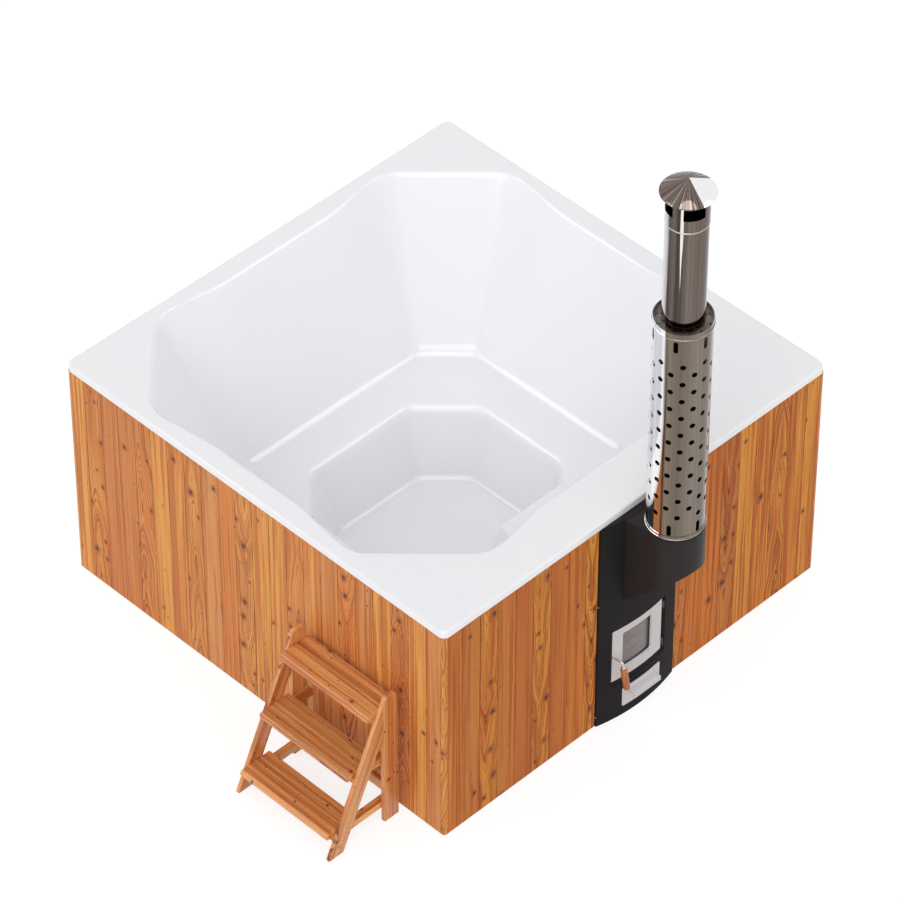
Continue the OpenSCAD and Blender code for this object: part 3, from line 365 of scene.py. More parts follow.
larchLook = {"yellow": (242, 170, 84), "orange": (230, 144, 70), "tan": (226, 156, 92),
             "red": (218, 137, 74), "heart": (198, 110, 50), "darkFrom": 0.58, "streak": 0.85,
             "late": (160, 114, 92), "flatContrast": 1.0, "plainContrast": 0.40, "pore": (134, 70, 34),
             "fibre": 0.16, "lines": 0.62, "halo": (164, 84, 40), "knot": (70, 46, 38),
             "joint": (84, 48, 28), "knotFlat": 0.64, "knotPlain": 0.10, "knotSmall": 0.0045,
             "knotBig": 0.0125, "pinSize": 0.0037, "pinShare": 0.17, "flatFirst": 2.0, "flatEvery": 3.0,
             "wanderRate": 1.9, "wander": 0.034, "swell": 0.11, "heartBehind": 0.008, "taper": 0.10,
             "ringPlain": 0.0045, "ringFlat": 0.0085, "wave": 0.016, "jointAt": 0.0452, "rough": 0.50,
             "gloss": 0.3, "coat": 0.0}
# Front boards: the same larch with darker, more saturated tints as painted shade for the face that gets less
# light, with less sheen and its own flat-sawn boards
shadedFrontLook = dict(larchLook, yellow=(230, 155, 64), orange=(216, 127, 52), tan=(208, 132, 64),
                 red=(196, 113, 52), heart=(176, 84, 32), halo=(146, 72, 32), flatFirst=1.0, gloss=0.12)
stepLook = dict(larchLook, yellow=(250, 186, 114), orange=(248, 177, 106), tan=(245, 172, 104),
                red=(240, 166, 98), heart=(206, 112, 54), late=(140, 92, 70), halo=(150, 72, 34), lines=0.8,
                knotSmall=0.002, knotBig=0.0065, pinSize=0.0046, pinShare=0.50, knotFlat=0.30,
                knotPlain=0.36, plainContrast=1.0, ringPlain=0.006, flatFirst=2.0, flatEvery=50.0,
                coat=0.25, rough=0.36, gloss=0.4, jointAt=0)
pineLook = dict(larchLook, yellow=(232, 202, 152), orange=(222, 190, 140), tan=(214, 184, 138),
                red=(206, 170, 124), heart=(214, 178, 130), late=(206, 184, 160), rough=0.62, jointAt=0,
                halo=(176, 128, 84), pore=(176, 132, 92))
gripLook = dict(larchLook, yellow=(214, 134, 70), orange=(206, 122, 62), tan=(198, 114, 58),
                red=(190, 104, 52), heart=(150, 74, 36), knotFlat=0.0, knotPlain=0.0, pinShare=0.0,
                ringPlain=0.004, plainContrast=1.0, lines=0.9, coat=0.4, rough=0.34, jointAt=0)


# Acrylic: gloss over a very slight unevenness of the moulding
def acrylicMaterial():
    material, tree = newMaterial("acrylicWhite")
    place = objectPlace(tree)
    cloud = noiseAt(place, 3.0, 3.0)
    color = blendColor(cloud, paint(247, 247, 249), paint(245, 245, 248))
    peel = noiseAt(place, 140.0, 2.0)
    rough = smoothStep(cloud, 0.3, 0.7, 0.17, 0.22)
    finishMaterial(tree, Base_Color=color, Roughness=rough, Normal=bump(peel, 0.03, 0.0005),
                   Specular_IOR_Level=0.5, Coat_Weight=0.35, Coat_Roughness=0.06)
    return material


# Powder coat or paint: fine texture, faint clouds of tone
def coatedMaterial(name, color, rough, grit=0.12, metallic=0.0, gloss=0.5):
    spread = 0.06
    material, tree = newMaterial(name)
    place = objectPlace(tree)
    cloud = noiseAt(place, 5.0, 4.0, 0.6)
    low, high = ([min(1, c * (1 + change)) for c in color[:3]] + [1] for change in (-spread, spread))
    grain = noiseAt(place, 900.0, 2.0)
    tone = blendColor(cloud, low, high)
    uneven = smoothStep(cloud, 0.2, 0.8, rough - 0.05, rough + 0.05)
    finishMaterial(tree, Base_Color=tone, Roughness=uneven, Normal=bump(grain, grit, 0.0003),
                   Metallic=metallic, Specular_IOR_Level=gloss)
    return material


chimneyAxis = (0.0226, -1.158, 0.0)


# Polished stainless tube round the chimney's axis: painted reflections run in upright bands round it, with
# fine draw lines and, where given, a painted highlight streak
def tubeSteel(name, reflectedTones, rough=0.12, lines=0.10, highlightStreak=None):
    material, tree = newMaterial(name)
    place = parts(objectPlace(tree, chimneyAxis))
    angle = calc("ARCTAN2", place[1], place[0])
    turn = calc("FRACT", angle / (2 * math.pi) + 1.0)
    drift = noiseAt(objectPlace(tree, chimneyAxis, (14, 14, 1.6)), 1.0, 3.0, 0.6)
    turn = turn + (drift - 0.5) * 0.03
    line = noiseAt(roundPlace(place, 26.0), 1.0, 4.0, 0.7)
    color = ramp(turn, [(at, paint(*tone)) for at, tone in reflectedTones])
    # painted highlight: a near-white upright streak, narrowing towards its foot
    if highlightStreak:
        width = smoothStep(place[2], highlightStreak["low"], highlightStreak["high"], 0.0005, highlightStreak["width"])
        off = abs(turn - highlightStreak["turn"])
        inside = smoothStep(off / width, 1.0, 0.7)
        above = smoothStep(place[2], highlightStreak["low"], highlightStreak["low"] + 0.05)
        color = blendColor(inside * above, color, paint(248, 247, 246))
    shade = smoothStep(line, 0.3, 0.7, 1.0 - 2 * lines, 1.0 + lines)
    finishMaterial(tree, Base_Color=scaled(color, shade), Metallic=1.0, Roughness=rough,
                   Normal=bump(line, 0.05, 0.0004))
    return material


# Painted reflections: tones by turn round each tube's axis; the near-white stretches are painted highlights
steelReflectionBands = {
    "guard": [(0.0, (141, 134, 126)), (0.35, (152, 144, 137)), (0.375, (226, 226, 228)),
              (0.40, (252, 252, 252)), (0.522, (246, 246, 246)), (0.534, (108, 94, 82)),
              (0.56, (131, 118, 104)), (0.61, (110, 100, 90)), (0.70, (134, 124, 114)),
              (0.78, (108, 101, 92)), (0.84, (149, 144, 138)), (0.88, (190, 188, 186)),
              (1.0, (141, 134, 126))],
    "flue": [(0.0, (144, 137, 131)), (0.36, (156, 150, 146)), (0.40, (252, 252, 252)),
             (0.46, (235, 232, 230)), (0.475, (79, 70, 64)), (0.53, (114, 103, 96)), (0.555, (64, 58, 53)),
             (0.575, (92, 84, 78)), (0.59, (85, 76, 70)), (0.64, (122, 111, 102)), (0.72, (111, 100, 93)),
             (0.80, (97, 87, 81)), (0.85, (144, 137, 131)), (0.88, (236, 234, 232)),
             (1.0, (144, 137, 131))],
    "bright": [(0.0, (170, 166, 162)), (0.40, (250, 250, 250)), (0.47, (180, 172, 166)),
               (0.60, (214, 210, 206)), (0.75, (160, 152, 146)), (0.90, (226, 224, 222)),
               (1.0, (170, 166, 162))]}
# Where the flue's painted highlight streak stands round the tube, from what height, and how wide it grows
flueHighlightStreak = {"turn": 0.583, "low": 2.19, "high": 2.50, "width": 0.014}


# Cone's steel: painted reflections in fine rays from the tip, one painted highlight sector, and a cooler
# painted reflection at the back
capLook = {"glintAt": -0.97, "glintHalf": 0.86, "coolReflectionAt": 0.75, "coolReflectionHalf": 0.55,
           "reflectedRays": [(0.30, (46, 48, 54)), (0.36, (150, 122, 104)), (0.39, (36, 32, 32)),
           (0.43, (140, 126, 118)), (0.455, (44, 36, 34)), (0.49, (176, 160, 150)), (0.51, (40, 36, 36)),
           (0.545, (124, 106, 96)), (0.57, (44, 38, 38)), (0.61, (204, 198, 194)), (0.64, (58, 50, 48)),
           (0.70, (190, 184, 180))]}


def capSteel(look):
    material, tree = newMaterial("capSteel")
    place = parts(objectPlace(tree, chimneyAxis))
    band = noiseAt(roundPlace(place, 9.0), 1.0, 2.0, 0.5)
    color = ramp(band, [(at, paint(*tone)) for at, tone in look["reflectedRays"]])
    angle = calc("ARCTAN2", place[1], place[0])

    def sector(at, half, ease):
        return smoothStep(abs(angle - at), half + ease, half - ease)

    # a cooler painted reflection at the back
    coolReflection = sector(look["coolReflectionAt"], look["coolReflectionHalf"], 0.25) * 0.5
    color = blendColor(coolReflection, color, paint(104, 114, 126))
    # the painted highlight sector
    color = blendColor(sector(look["glintAt"], look["glintHalf"], 0.03), color, paint(238, 238, 240))
    finishMaterial(tree, Base_Color=color, Metallic=1.0, Roughness=0.10)
    return material


# Plain satin sheet steel with a fine brushed direction along X
def sheetSteel(name, color, rough=0.3):
    material, tree = newMaterial(name)
    line = noiseAt(objectPlace(tree, scale=(6, 220, 220)), 4.0, 3.0, 0.6)
    tone = blendColor(smoothStep(line, 0.3, 0.7), color, [c * 0.86 for c in color[:3]] + [1])
    uneven = smoothStep(line, 0.2, 0.8, rough, rough + 0.1)
    finishMaterial(tree, Base_Color=tone, Metallic=0.85, Roughness=uneven, Normal=bump(line, 0.06, 0.0003))
    return material


# Smoked stove glass with faint level lines, and painted shade towards the hinge side
glassLook = {"lines": 76.0, "light": paint(138, 122, 121), "dark": paint(86, 74, 74), "shadeFrom": 0.016,
             "shadeTo": 0.056, "shade": 0.55}


def glassMaterial(look):
    material, tree = newMaterial("stoveGlass")
    place = parts(objectPlace(tree))
    line = smoothStep(abs(calc("FRACT", place[2] * look["lines"]) - 0.5), 0.4, 0.18)
    soot = noiseAt(objectPlace(tree, scale=(10, 10, 40)), 1.0, 4.0, 0.6)
    amount = line * smoothStep(soot, 0.3, 0.6, 0.45, 1.0)
    color = blendColor(amount, look["dark"], look["light"])
    # painted shade: darker towards the hinge side
    side = smoothStep(place[0], look["shadeFrom"], look["shadeTo"], 0.0, look["shade"])
    color = blendColor(side, color, paint(52, 44, 42))
    finishMaterial(tree, Base_Color=color, Roughness=0.14, Transmission_Weight=0.12, IOR=1.5, Coat_Weight=0.3)
    return material


def ropeMaterial():
    material, tree = newMaterial("ropeSeal")
    place = objectPlace(tree, scale=(260, 260, 260))
    weave = flow(tree, "ShaderNodeTexWave", {"Vector": place, "Scale": 1.0, "Distortion": 2.0}, 1,
                 bands_direction="DIAGONAL")
    color = blendColor(weave, paint(40, 40, 42), paint(74, 74, 76))
    finishMaterial(tree, Base_Color=color, Roughness=0.9, Normal=bump(weave, 0.6, 0.0008))
    return material


materials = {
    "acrylic": acrylicMaterial(),
    "larch": woodMaterial("larchBoards", larchLook),
    "larchShadedFront": woodMaterial("larchShadedFrontBoards", shadedFrontLook),
    "step_wood": woodMaterial("stepWood", stepLook),
    "pine": woodMaterial("sawnPine", pineLook),
    "grip": woodMaterial("gripWood", gripLook),
    "charcoal": coatedMaterial("charcoalCoat", paint(34, 32, 32), 0.6, gloss=0.06),
    "hood": coatedMaterial("hoodCoat", paint(45, 41, 40), 0.42, gloss=0.10),
    "drawer": coatedMaterial("drawerSatin", paint(204, 198, 195), 0.32, 0.015, 0.3),
    # pale satin for the screws, and painted highlight on the window's sides and the drawer shelf's top
    "reveal": coatedMaterial("paleSatinAndHighlight", paint(240, 242, 247), 0.3, 0.015, 0.1),
    "satin_grey": coatedMaterial("satinGrey", paint(198, 193, 191), 0.34, 0.015, 0.35),
    "stainless": sheetSteel("satinSteel", paint(214, 210, 206)),
    "guard": tubeSteel("guardSteel", steelReflectionBands["guard"]),
    "flue": tubeSteel("flueSteel", steelReflectionBands["flue"], lines=0.26, highlightStreak=flueHighlightStreak),
    "spacerTop": coatedMaterial("spacerGrey", paint(120, 110, 102), 0.35, 0.1, 0.4),
    # near-black sooted steel, also painted shade for the dark inside of the guard
    "soot": coatedMaterial("sootedSteelAndShade", paint(16, 15, 14), 0.7, 0.2, gloss=0.1),
    "bright": tubeSteel("brightSteel", steelReflectionBands["bright"], 0.14),
    "cap": capSteel(capLook),
    # dark steel; on the hinge pins and lugs it is painted shade
    "black_steel": coatedMaterial("blackSteelAndShade", paint(52, 51, 50), 0.55, 0.2),
    "pipe": coatedMaterial("pipeGrey", paint(148, 150, 154), 0.5, 0.05),
    "brass": sheetSteel("brassValve", paint(206, 170, 96), 0.28),
    "red": coatedMaterial("redEnamel", paint(170, 40, 34), 0.3, 0.04),
    "glass": glassMaterial(glassLook),
    "seal": ropeMaterial(),
}
slotOf = {part["node"]: part["material_slot"] for part in frame["record"]["subparts"]}
bodyOf = {}
for body, members in frame["record"]["behaviour"]["bodies"].items():
    for member in members:
        bodyOf[member] = body
print("materials made:", len(materials))


# Modifiers and node trees become a plain mesh; the piece keeps no modifier
def settle(piece):
    depsgraph = bpy.context.evaluated_depsgraph_get()
    mesh = bpy.data.meshes.new_from_object(piece.evaluated_get(depsgraph), preserve_all_data_layers=True,
                                           depsgraph=depsgraph)
    piece.modifiers.clear()
    old = piece.data
    piece.data = mesh
    mesh.name = piece.name
    bpy.data.meshes.remove(old)
    return piece


# large faces keep their own normals, and only the small ones between them turn
def smoothFaces(piece, angle=35, byArea=True):
    mesh = piece.data
    mesh.shade_smooth()
    mesh.set_sharp_from_angle(angle=math.radians(angle))
    if byArea:
        modifier = piece.modifiers.new("flatFaces", "WEIGHTED_NORMAL")
        modifier.mode = "FACE_AREA"
        modifier.keep_sharp = True
        settle(piece)


def rework(piece, change):
    graph = bmesh.new()
    graph.from_mesh(piece.data)
    change(graph)
    graph.to_mesh(piece.data)
    graph.free()


def closeSkin(graph):
    bmesh.ops.remove_doubles(graph, verts=graph.verts, dist=1e-6)
    bmesh.ops.recalc_face_normals(graph, faces=graph.faces)


def coordinates(mesh):
    spots = np.zeros(len(mesh.vertices) * 3, np.float32)
    mesh.vertices.foreach_get("co", spots)
    return spots.reshape(-1, 3)


# Quads between the neighbours in a grid of points that closes on itself both ways
def gridFaces(columns, rows, first=0):
    faces = []
    for i in range(columns):
        j = (i + 1) % columns
        for r in range(rows):
            up = (r + 1) % rows
            faces.append([first + k for k in (i * rows + r, j * rows + r, j * rows + up, i * rows + up)])
    return faces


def easeEdges(piece, width, segments):
    modifier = piece.modifiers.new("easedEdges", "BEVEL")
    modifier.width = width
    modifier.segments = segments
    modifier.limit_method = "ANGLE"
    modifier.angle_limit = math.radians(40)
    modifier.use_clamp_overlap = True
    modifier.miter_outer = "MITER_ARC"
    return settle(piece)


def place(piece, node):
    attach(piece, bodyOf[node])
    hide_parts(node)
    return piece


# Merged copy of a CAD node, with coplanar triangles joined, so that its edges can be eased
def mergedCopy(node, name, material):
    source = bmesh.new()
    source.from_mesh(frame["nodes"][node].data)
    bmesh.ops.remove_doubles(source, verts=source.verts, dist=2e-6)
    bmesh.ops.dissolve_degenerate(source, edges=source.edges, dist=1e-6)
    bmesh.ops.dissolve_limit(source, angle_limit=math.radians(0.3), verts=source.verts, edges=source.edges)
    source.verts.ensure_lookup_table()
    points = [tuple(v.co) for v in source.verts]
    faces = [[v.index for v in f.verts] for f in source.faces]
    source.free()
    return newPiece(name, points, faces, material)


def islands(mesh):
    graph = bmesh.new()
    graph.from_mesh(mesh)
    graph.verts.ensure_lookup_table()
    seen = set()
    groups = []
    for start in graph.verts:
        if start.index in seen:
            continue
        stack = [start]
        group = []
        seen.add(start.index)
        while stack:
            vert = stack.pop()
            group.append(vert.index)
            for edge in vert.link_edges:
                other = edge.other_vert(vert)
                if other.index not in seen:
                    seen.add(other.index)
                    stack.append(other)
        groups.append(group)
    graph.free()
    return groups


# Gives each timber of a piece its own grain, along its longest side or a given line, and a number of its own
def addGrain(piece, firstSeed, along=None):
    mesh = piece.data
    spots = coordinates(mesh)
    grain = np.zeros_like(spots)
    seeds = np.zeros(len(spots), np.float32)
    for number, group in enumerate(islands(mesh)):
        corners = spots[group]
        centre = (corners.min(0) + corners.max(0)) / 2
        spread = corners - centre
        if along is None:
            size = corners.max(0) - corners.min(0)
            order = np.argsort(size)
            basis = np.eye(3)[[order[1], order[0], order[2]]]
        else:
            line = np.array(along, float)
            line /= np.linalg.norm(line)
            thin = np.array((0.0, 1.0, 0.0))
            wide = np.cross(thin, line)
            basis = np.array([wide, thin, line])
        grain[group] = spread @ basis.T
        seeds[group] = firstSeed + number
    mesh.attributes.new("grainAt", "FLOAT_VECTOR", "POINT").data.foreach_set("vector", grain.ravel())
    mesh.attributes.new("grainSeed", "FLOAT", "POINT").data.foreach_set("value", seeds)


def timberPiece(node, name, seed, edge=0.0, along=None, segments=3):
    piece = mergedCopy(node, name, materials[slotOf[node]])
    if edge:
        easeEdges(piece, edge, segments)
    addGrain(piece, seed, along)
    smoothFaces(piece, 32)
    return place(piece, node)


def metalPiece(node, name, edge=0.0, segments=2, material=None):
    piece = mergedCopy(node, name, materials[material or slotOf[node]])
    if edge:
        easeEdges(piece, edge, segments)
    smoothFaces(piece, 32)
    return place(piece, node)


# Closed profiles of (radius, height) turned round the chimney's axis
def turnedPiece(node, name, profiles, material, smooth=50):
    points = []
    faces = []
    steps = tubeSizes["steps"]
    for profile in profiles:
        faces += gridFaces(steps, len(profile), len(points))
        for step in range(steps):
            angle = 2 * math.pi * step / steps
            x, y = math.cos(angle), math.sin(angle)
            points += [Vector(chimneyAxis) + Vector((x * r, y * r, height)) for r, height in profile]
    piece = newPiece(name, points, faces, materials[material])
    rework(piece, closeSkin)
    smoothFaces(piece, smooth)
    return place(piece, node)


# Shades a tube as truly round, whatever its facets: corners of wall faces look straight out or in
def roundShading(piece):
    mesh = piece.data
    axis = np.array(chimneyAxis)
    radial = coordinates(mesh) - axis
    radial[:, 2] = 0
    radial /= np.maximum(np.linalg.norm(radial, axis=1, keepdims=True), 1e-6)
    mesh.shade_smooth()
    mesh.set_sharp_from_angle(angle=math.radians(30))
    normals = [0] * len(mesh.loops)
    for face in mesh.polygons:
        middle = np.array(face.center) - axis
        outward = float(middle[:2] @ np.array(face.normal)[:2]) / max(float(np.linalg.norm(middle[:2])), 1e-6)
        for loop in face.loop_indices:
            if abs(outward) > 0.985:
                normals[loop] = tuple(radial[mesh.loops[loop].vertex_index] * (1 if outward > 0 else -1))
            else:
                normals[loop] = tuple(mesh.corner_normals[loop].vector)
    mesh.normals_split_custom_set(normals)


# Tub shell. Its outlines are those of the frame's shell, in millimetres, with more points
shellSizes = {"rimHalf": 1003.0, "rimBase": 1030.3, "rimTop": 1062.3, "skin": 6.0, "wallSkin": 3.8,
              "wellSkin": 5.2, "seat": 420.0, "floor": 80.0, "housing": 620.0, "housingX": 20.0,
              "openHalf": 913.0, "openFront": -788.0, "pocketOut": 32.0, "rimCorner": 28.0,
              "foot": (617, 621, -617, -492), "well": (410, 425, -470, -370),
              "wellFloor": (365, 375, -360, -300), "housingFront": -425.0, "drain": (-120.0, -136.364),
              "drainHole": 25.0, "ports": ((-50, 260), (80, 520)), "portHole": 22.0, "finer": 2,
              "rolls": (10, 19, 45, 38, 30), "rollSteps": (8, 12, 12, 12, 10), "wallSteps": (2, 5, 3, 5, 2),
              "underRolls": (0, 17.3, 45, 34, 26),
              "underRollSteps": (1, 6, 6, 6, 4), "underWallSteps": (1, 3, 1, 3, 0)}


def toward(p, q, cut):
    gap = (q - p).length
    return p.copy() if gap == 0 else p + (q - p) * (min(cut, 0.48 * gap) / gap)


def bend(start, corner, end, t):
    return (1 - t) ** 2 * start + 2 * t * (1 - t) * corner + t * t * end


def mix(a, b, t):
    return a + (b - a) * t


def cornerPoints(corner, k, legsIn, legsOut, out):
    back = [Vector((-1, 0)), Vector((0, -1)), Vector((1, 0)), Vector((0, 1))][k]
    on = [Vector((0, 1)), Vector((-1, 0)), Vector((0, -1)), Vector((1, 0))][k]
    first = [corner + back * legsIn[i] - on * (out if i > 0 else 0) for i in range(3)]
    last = [corner + on * legsOut[i] - back * (out if i > 0 else 0) for i in (2, 1, 0)]
    return first + last


def outline(sides, legs, out, columns, z):
    corners = [(sides[0], sides[3]), (sides[0], sides[1]), (sides[2], sides[1]), (sides[2], sides[3])]
    ring = []
    for k, corner in enumerate(corners):
        for p in cornerPoints(Vector(corner), k, legs[k][0], legs[k][1], out):
            ring.append(Vector((p.x, p.y, z)))
    return ring + [Vector(c) for c in columns]


def shellOutline(k, under, s):
    wall = under * s["wallSkin"]
    well = under * s["wellSkin"]
    drop = -under * s["skin"]
    thick = under * s["skin"]
    rim = s["rimHalf"] - thick
    signs = (1, 1, -1, -1)
    x = s["housingX"]

    def columns(base, top, yBase, yTop, zBase, zTop):
        return [(x - base, yBase, zBase), (x - top, yTop, zTop), (x + top, yTop, zTop),
                (x + base, yBase, zBase)]

    def same(a, b, c):
        return [[(a, b, c), (a, b, c)] for _ in range(4)]

    def grown(legs, d):
        return [[(l[0] + d, l[1] + d, l[2] + 0.586 * d) for l in pair] for pair in legs]

    if k < 2:
        z = s["rimBase"] if k == 0 else s["rimTop"] + drop
        return outline([n * rim for n in signs], same(600, 300, 0.586 * s["rimCorner"]), 0,
                       columns(260, 215, -rim, -rim, z, z), z)
    if k == 2:
        z = s["rimTop"] + drop
        half = s["openHalf"] + wall
        front = s["openFront"] - wall
        return outline([half, half, -half, front], grown(same(600, 420, 312), wall), s["pocketOut"],
                       columns(260, 215, front, front, z, z), z)
    seat = s["seat"] + drop
    if k == 3:
        slope = (s["rimTop"] - s["housing"]) / (s["rimTop"] - s["seat"])
        back = mix(s["openFront"], s["foot"][3], slope) - wall
        return outline([f + n * wall for f, n in zip(s["foot"], signs)], grown(same(298, 228, 168), wall), 0,
                       columns(225 - thick, 208 - thick, s["foot"][3] - wall, back, seat,
                               s["housing"] + drop), seat)
    if k == 4:
        legs = [[(200, 180, 160), (275, 218, 160)], [(320, 262, 205), (320, 262, 205)],
                [(275, 218, 160), (275, 218, 160)], [(275, 218, 160), (240, 200, 160)]]
        return outline([f + n * well for f, n in zip(s["well"], signs)], grown(legs, well), 0,
                       columns(170 - thick, 155 - thick, s["well"][3] - well, s["housingFront"] - well, seat,
                               s["housing"] + drop), seat)
    legs = [[(180, 165, 150), (230, 190, 150)], [(230, 190, 150), (230, 190, 150)],
            [(230, 190, 150), (230, 190, 150)], [(230, 190, 150), (200, 175, 150)]]
    floor = s["floor"] + drop
    front = s["wellFloor"][3] - well
    return outline([f + n * well for f, n in zip(s["wellFloor"], signs)], grown(legs, well), 0,
                   columns(130, 110, front, front, floor, floor), floor)


# Rounds each corner of an outline and adds points along its long straight stretches
def roundedPlan(ring, cuts, counts, spare):
    n = len(ring)
    arcs = []
    for i in range(n):
        start = toward(ring[i], ring[i - 1], cuts[i])
        end = toward(ring[i], ring[(i + 1) % n], cuts[i])
        arcs.append([bend(start, ring[i], end, (j + 0.5) / counts[i]) for j in range(counts[i])])
    full = []
    for i in range(n):
        full += arcs[i]
        after = arcs[(i + 1) % n][0]
        full += [mix(arcs[i][-1], after, (j + 1) / (spare[i] + 1)) for j in range(spare[i])]
    return full


def shellSection(rings, hole, s, cuts, counts, spare):
    line = [rings[0][s]]
    for k in range(1, 6):
        after = hole[s] if k == 5 else rings[k + 1][s]
        if counts[k - 1] == 1:
            line.append(rings[k][s])
        else:
            start = toward(rings[k][s], rings[k - 1][s], cuts[k - 1])
            end = toward(rings[k][s], after, cuts[k - 1])
            line += [bend(start, rings[k][s], end, j / (counts[k - 1] - 1)) for j in range(counts[k - 1])]
        following = toward(rings[k + 1][s], rings[k][s], cuts[k]) if k < 5 else hole[s]
        last = line[-1]
        line += [mix(last, following, (j + 1) / (spare[k - 1] + 1)) for j in range(spare[k - 1])]
    return line + [hole[s]]


def makeShell(s):
    cornerCounts = [count * s["finer"] for count in [3, 3, 4, 4, 3, 3] * 4 + [3, 4, 4, 3]]
    spare = [1, 0, 0, 0, 1, 3] * 4 + [1, 3, 1, 3]
    cuts = [[40, 40, 0.414 * s["rimCorner"], 0.414 * s["rimCorner"], 40, 40] * 4 + [15] * 4] * 2
    cuts += [[60] * 24 + [15] * 4, [20, 20, 25, 25, 20, 20] * 4 + [15] * 4]
    cuts += [[20, 20, 40, 40, 20, 20] * 4 + [15] * 4, [12, 12, 25, 25, 12, 12] * 4 + [15] * 4]
    faceRings = [roundedPlan(shellOutline(k, 0, s), cuts[k], cornerCounts, spare) for k in range(6)]
    skinRings = [roundedPlan(shellOutline(k, 1, s), cuts[k], cornerCounts, spare) for k in range(6)]
    drain = Vector(s["drain"])

    def holeRing(ring, z):
        spots = []
        for p in ring:
            away = (p.xy - drain).normalized() * s["drainHole"]
            spots.append(Vector((drain.x + away.x, drain.y + away.y, z)))
        return spots

    holeFace = holeRing(faceRings[5], s["floor"])
    holeSkin = holeRing(skinRings[5], s["floor"] - s["skin"])
    count = len(faceRings[0])
    points = []
    for i in range(count):
        top = shellSection(faceRings, holeFace, i, s["rolls"], s["rollSteps"], s["wallSteps"])
        under = shellSection(skinRings, holeSkin, i, s["underRolls"], s["underRollSteps"],
                             s["underWallSteps"])
        line = top + under[::-1]
        points += [tuple(p * mm) for p in line]
    piece = newPiece("tubShell", points, gridFaces(count, len(line)), materials["acrylic"])
    rework(piece, closeSkin)
    return piece


# Holes for the two water ports, cut where the frame has them
def cutPorts(piece, s):
    tools = []
    slope = (s["wellFloor"][3] - s["housingFront"]) / (s["housing"] - s["floor"])
    for x, z in s["ports"]:
        y = mix(s["wellFloor"][3], s["housingFront"], (z - s["floor"]) / (s["housing"] - s["floor"]))
        bpy.ops.mesh.primitive_cylinder_add(vertices=48, radius=s["portHole"] * mm, depth=0.1,
                                            location=Vector((x, y, z)) * mm,
                                            rotation=(math.atan(slope) - math.pi / 2, 0, 0))
        tools.append(bpy.context.object)
    for tool in tools:
        modifier = piece.modifiers.new("port", "BOOLEAN")
        modifier.object = tool
        modifier.solver = "EXACT"
    settle(piece)
    for tool in tools:
        bpy.data.objects.remove(tool)
    piece.data.materials.clear()
    piece.data.materials.append(materials["acrylic"])


tubShell = makeShell(shellSizes)
cutPorts(tubShell, shellSizes)
smoothFaces(tubShell, 48, False)
place(tubShell, "shell")
print("shell:", len(tubShell.data.polygons), "faces")


# A tree whose inputs are the keys of a dictionary, each of the kind of its value, and a material
def newTree(name, values):
    tree = bpy.data.node_groups.new(name, "GeometryNodeTree")
    tree.interface.new_socket("Geometry", in_out="OUTPUT", socket_type="NodeSocketGeometry")
    kinds = {float: "Float", int: "Int", tuple: "Vector", type(None): "Material"}
    for label, value in {**values, "Material": None}.items():
        tree.interface.new_socket(label, in_out="INPUT", socket_type="NodeSocket" + kinds[type(value)])
    source = tree.nodes.new("NodeGroupInput")
    return tree, {socket.name: Flow(tree, socket) for socket in source.outputs}


def finishTree(shape, material):
    tree = shape.tree
    plain = geo(tree, "RealizeInstances", {"Geometry": shape})
    done = geo(tree, "SetMaterial", {"Geometry": plain, "Material": material})
    tree.links.new(done.socket, tree.nodes.new("NodeGroupOutput").inputs[0])
    return tree


def growPiece(name, tree, values, material):
    values = {**values, "Material": materials[material]}
    piece = bpy.data.objects.new(name, bpy.data.meshes.new(name))
    scene.collection.objects.link(piece)
    modifier = piece.modifiers.new("grow", "NODES")
    modifier.node_group = tree
    for item in tree.interface.items_tree:
        if item.in_out == "INPUT":
            modifier[item.identifier] = values[item.name]
    piece.update_tag()
    return settle(piece)


def geo(tree, kind, inputs=None, **settings):
    return flow(tree, "GeometryNode" + kind, inputs, **settings)


def moved(shape, **changes):
    return geo(shape.tree, "Transform", {"Geometry": shape, **changes})


def joined(*shapes):
    made = shapes[0].tree.nodes.new("GeometryNodeJoinGeometry")
    for shape in shapes:
        shape.tree.links.new(shape.socket, made.inputs[0])
    return Flow(shapes[0].tree, made.outputs[0])


def cutBy(shape, *tools):
    made = addNode(shape.tree, "GeometryNodeMeshBoolean", {"Mesh 1": shape}, operation="DIFFERENCE",
                   solver="EXACT")
    for tool in tools:
        shape.tree.links.new(tool.socket, made.inputs["Mesh 2"])
    return Flow(shape.tree, made.outputs[0])


# Closed body over a flat outline, from Z = 0 up
def raisedShape(rim, height):
    tree = rim.tree
    face = geo(tree, "FillCurve", {"Curve": rim}, mode="NGONS")
    raised = geo(tree, "ExtrudeMesh", {"Mesh": face, "Offset": (0.0, 0.0, 1.0), "Offset Scale": height,
                 "Individual": False}, mode="FACES")
    both = joined(raised, geo(tree, "FlipFaces", {"Mesh": face}))
    return geo(tree, "MergeByDistance", {"Geometry": both, "Distance": 1e-6})


# Outline of a board, a cord's path or a slot: a rectangle with rounded corners
def roundedRim(width, height, radius, steps):
    rim = geo(width.tree, "CurvePrimitiveQuadrilateral", {"Width": width, "Height": height})
    return geo(width.tree, "FilletCurve", {"Curve": rim, "Radius": radius, "Count": steps}, mode="POLY")


def setPosition(shape, spot):
    return geo(shape.tree, "SetPosition", {"Geometry": shape, "Position": spot})


def store(shape, name, value, kind="FLOAT", domain="POINT"):
    return geo(shape.tree, "StoreNamedAttribute", {"Geometry": shape, "Name": name, "Value": value},
               data_type=kind, domain=domain)


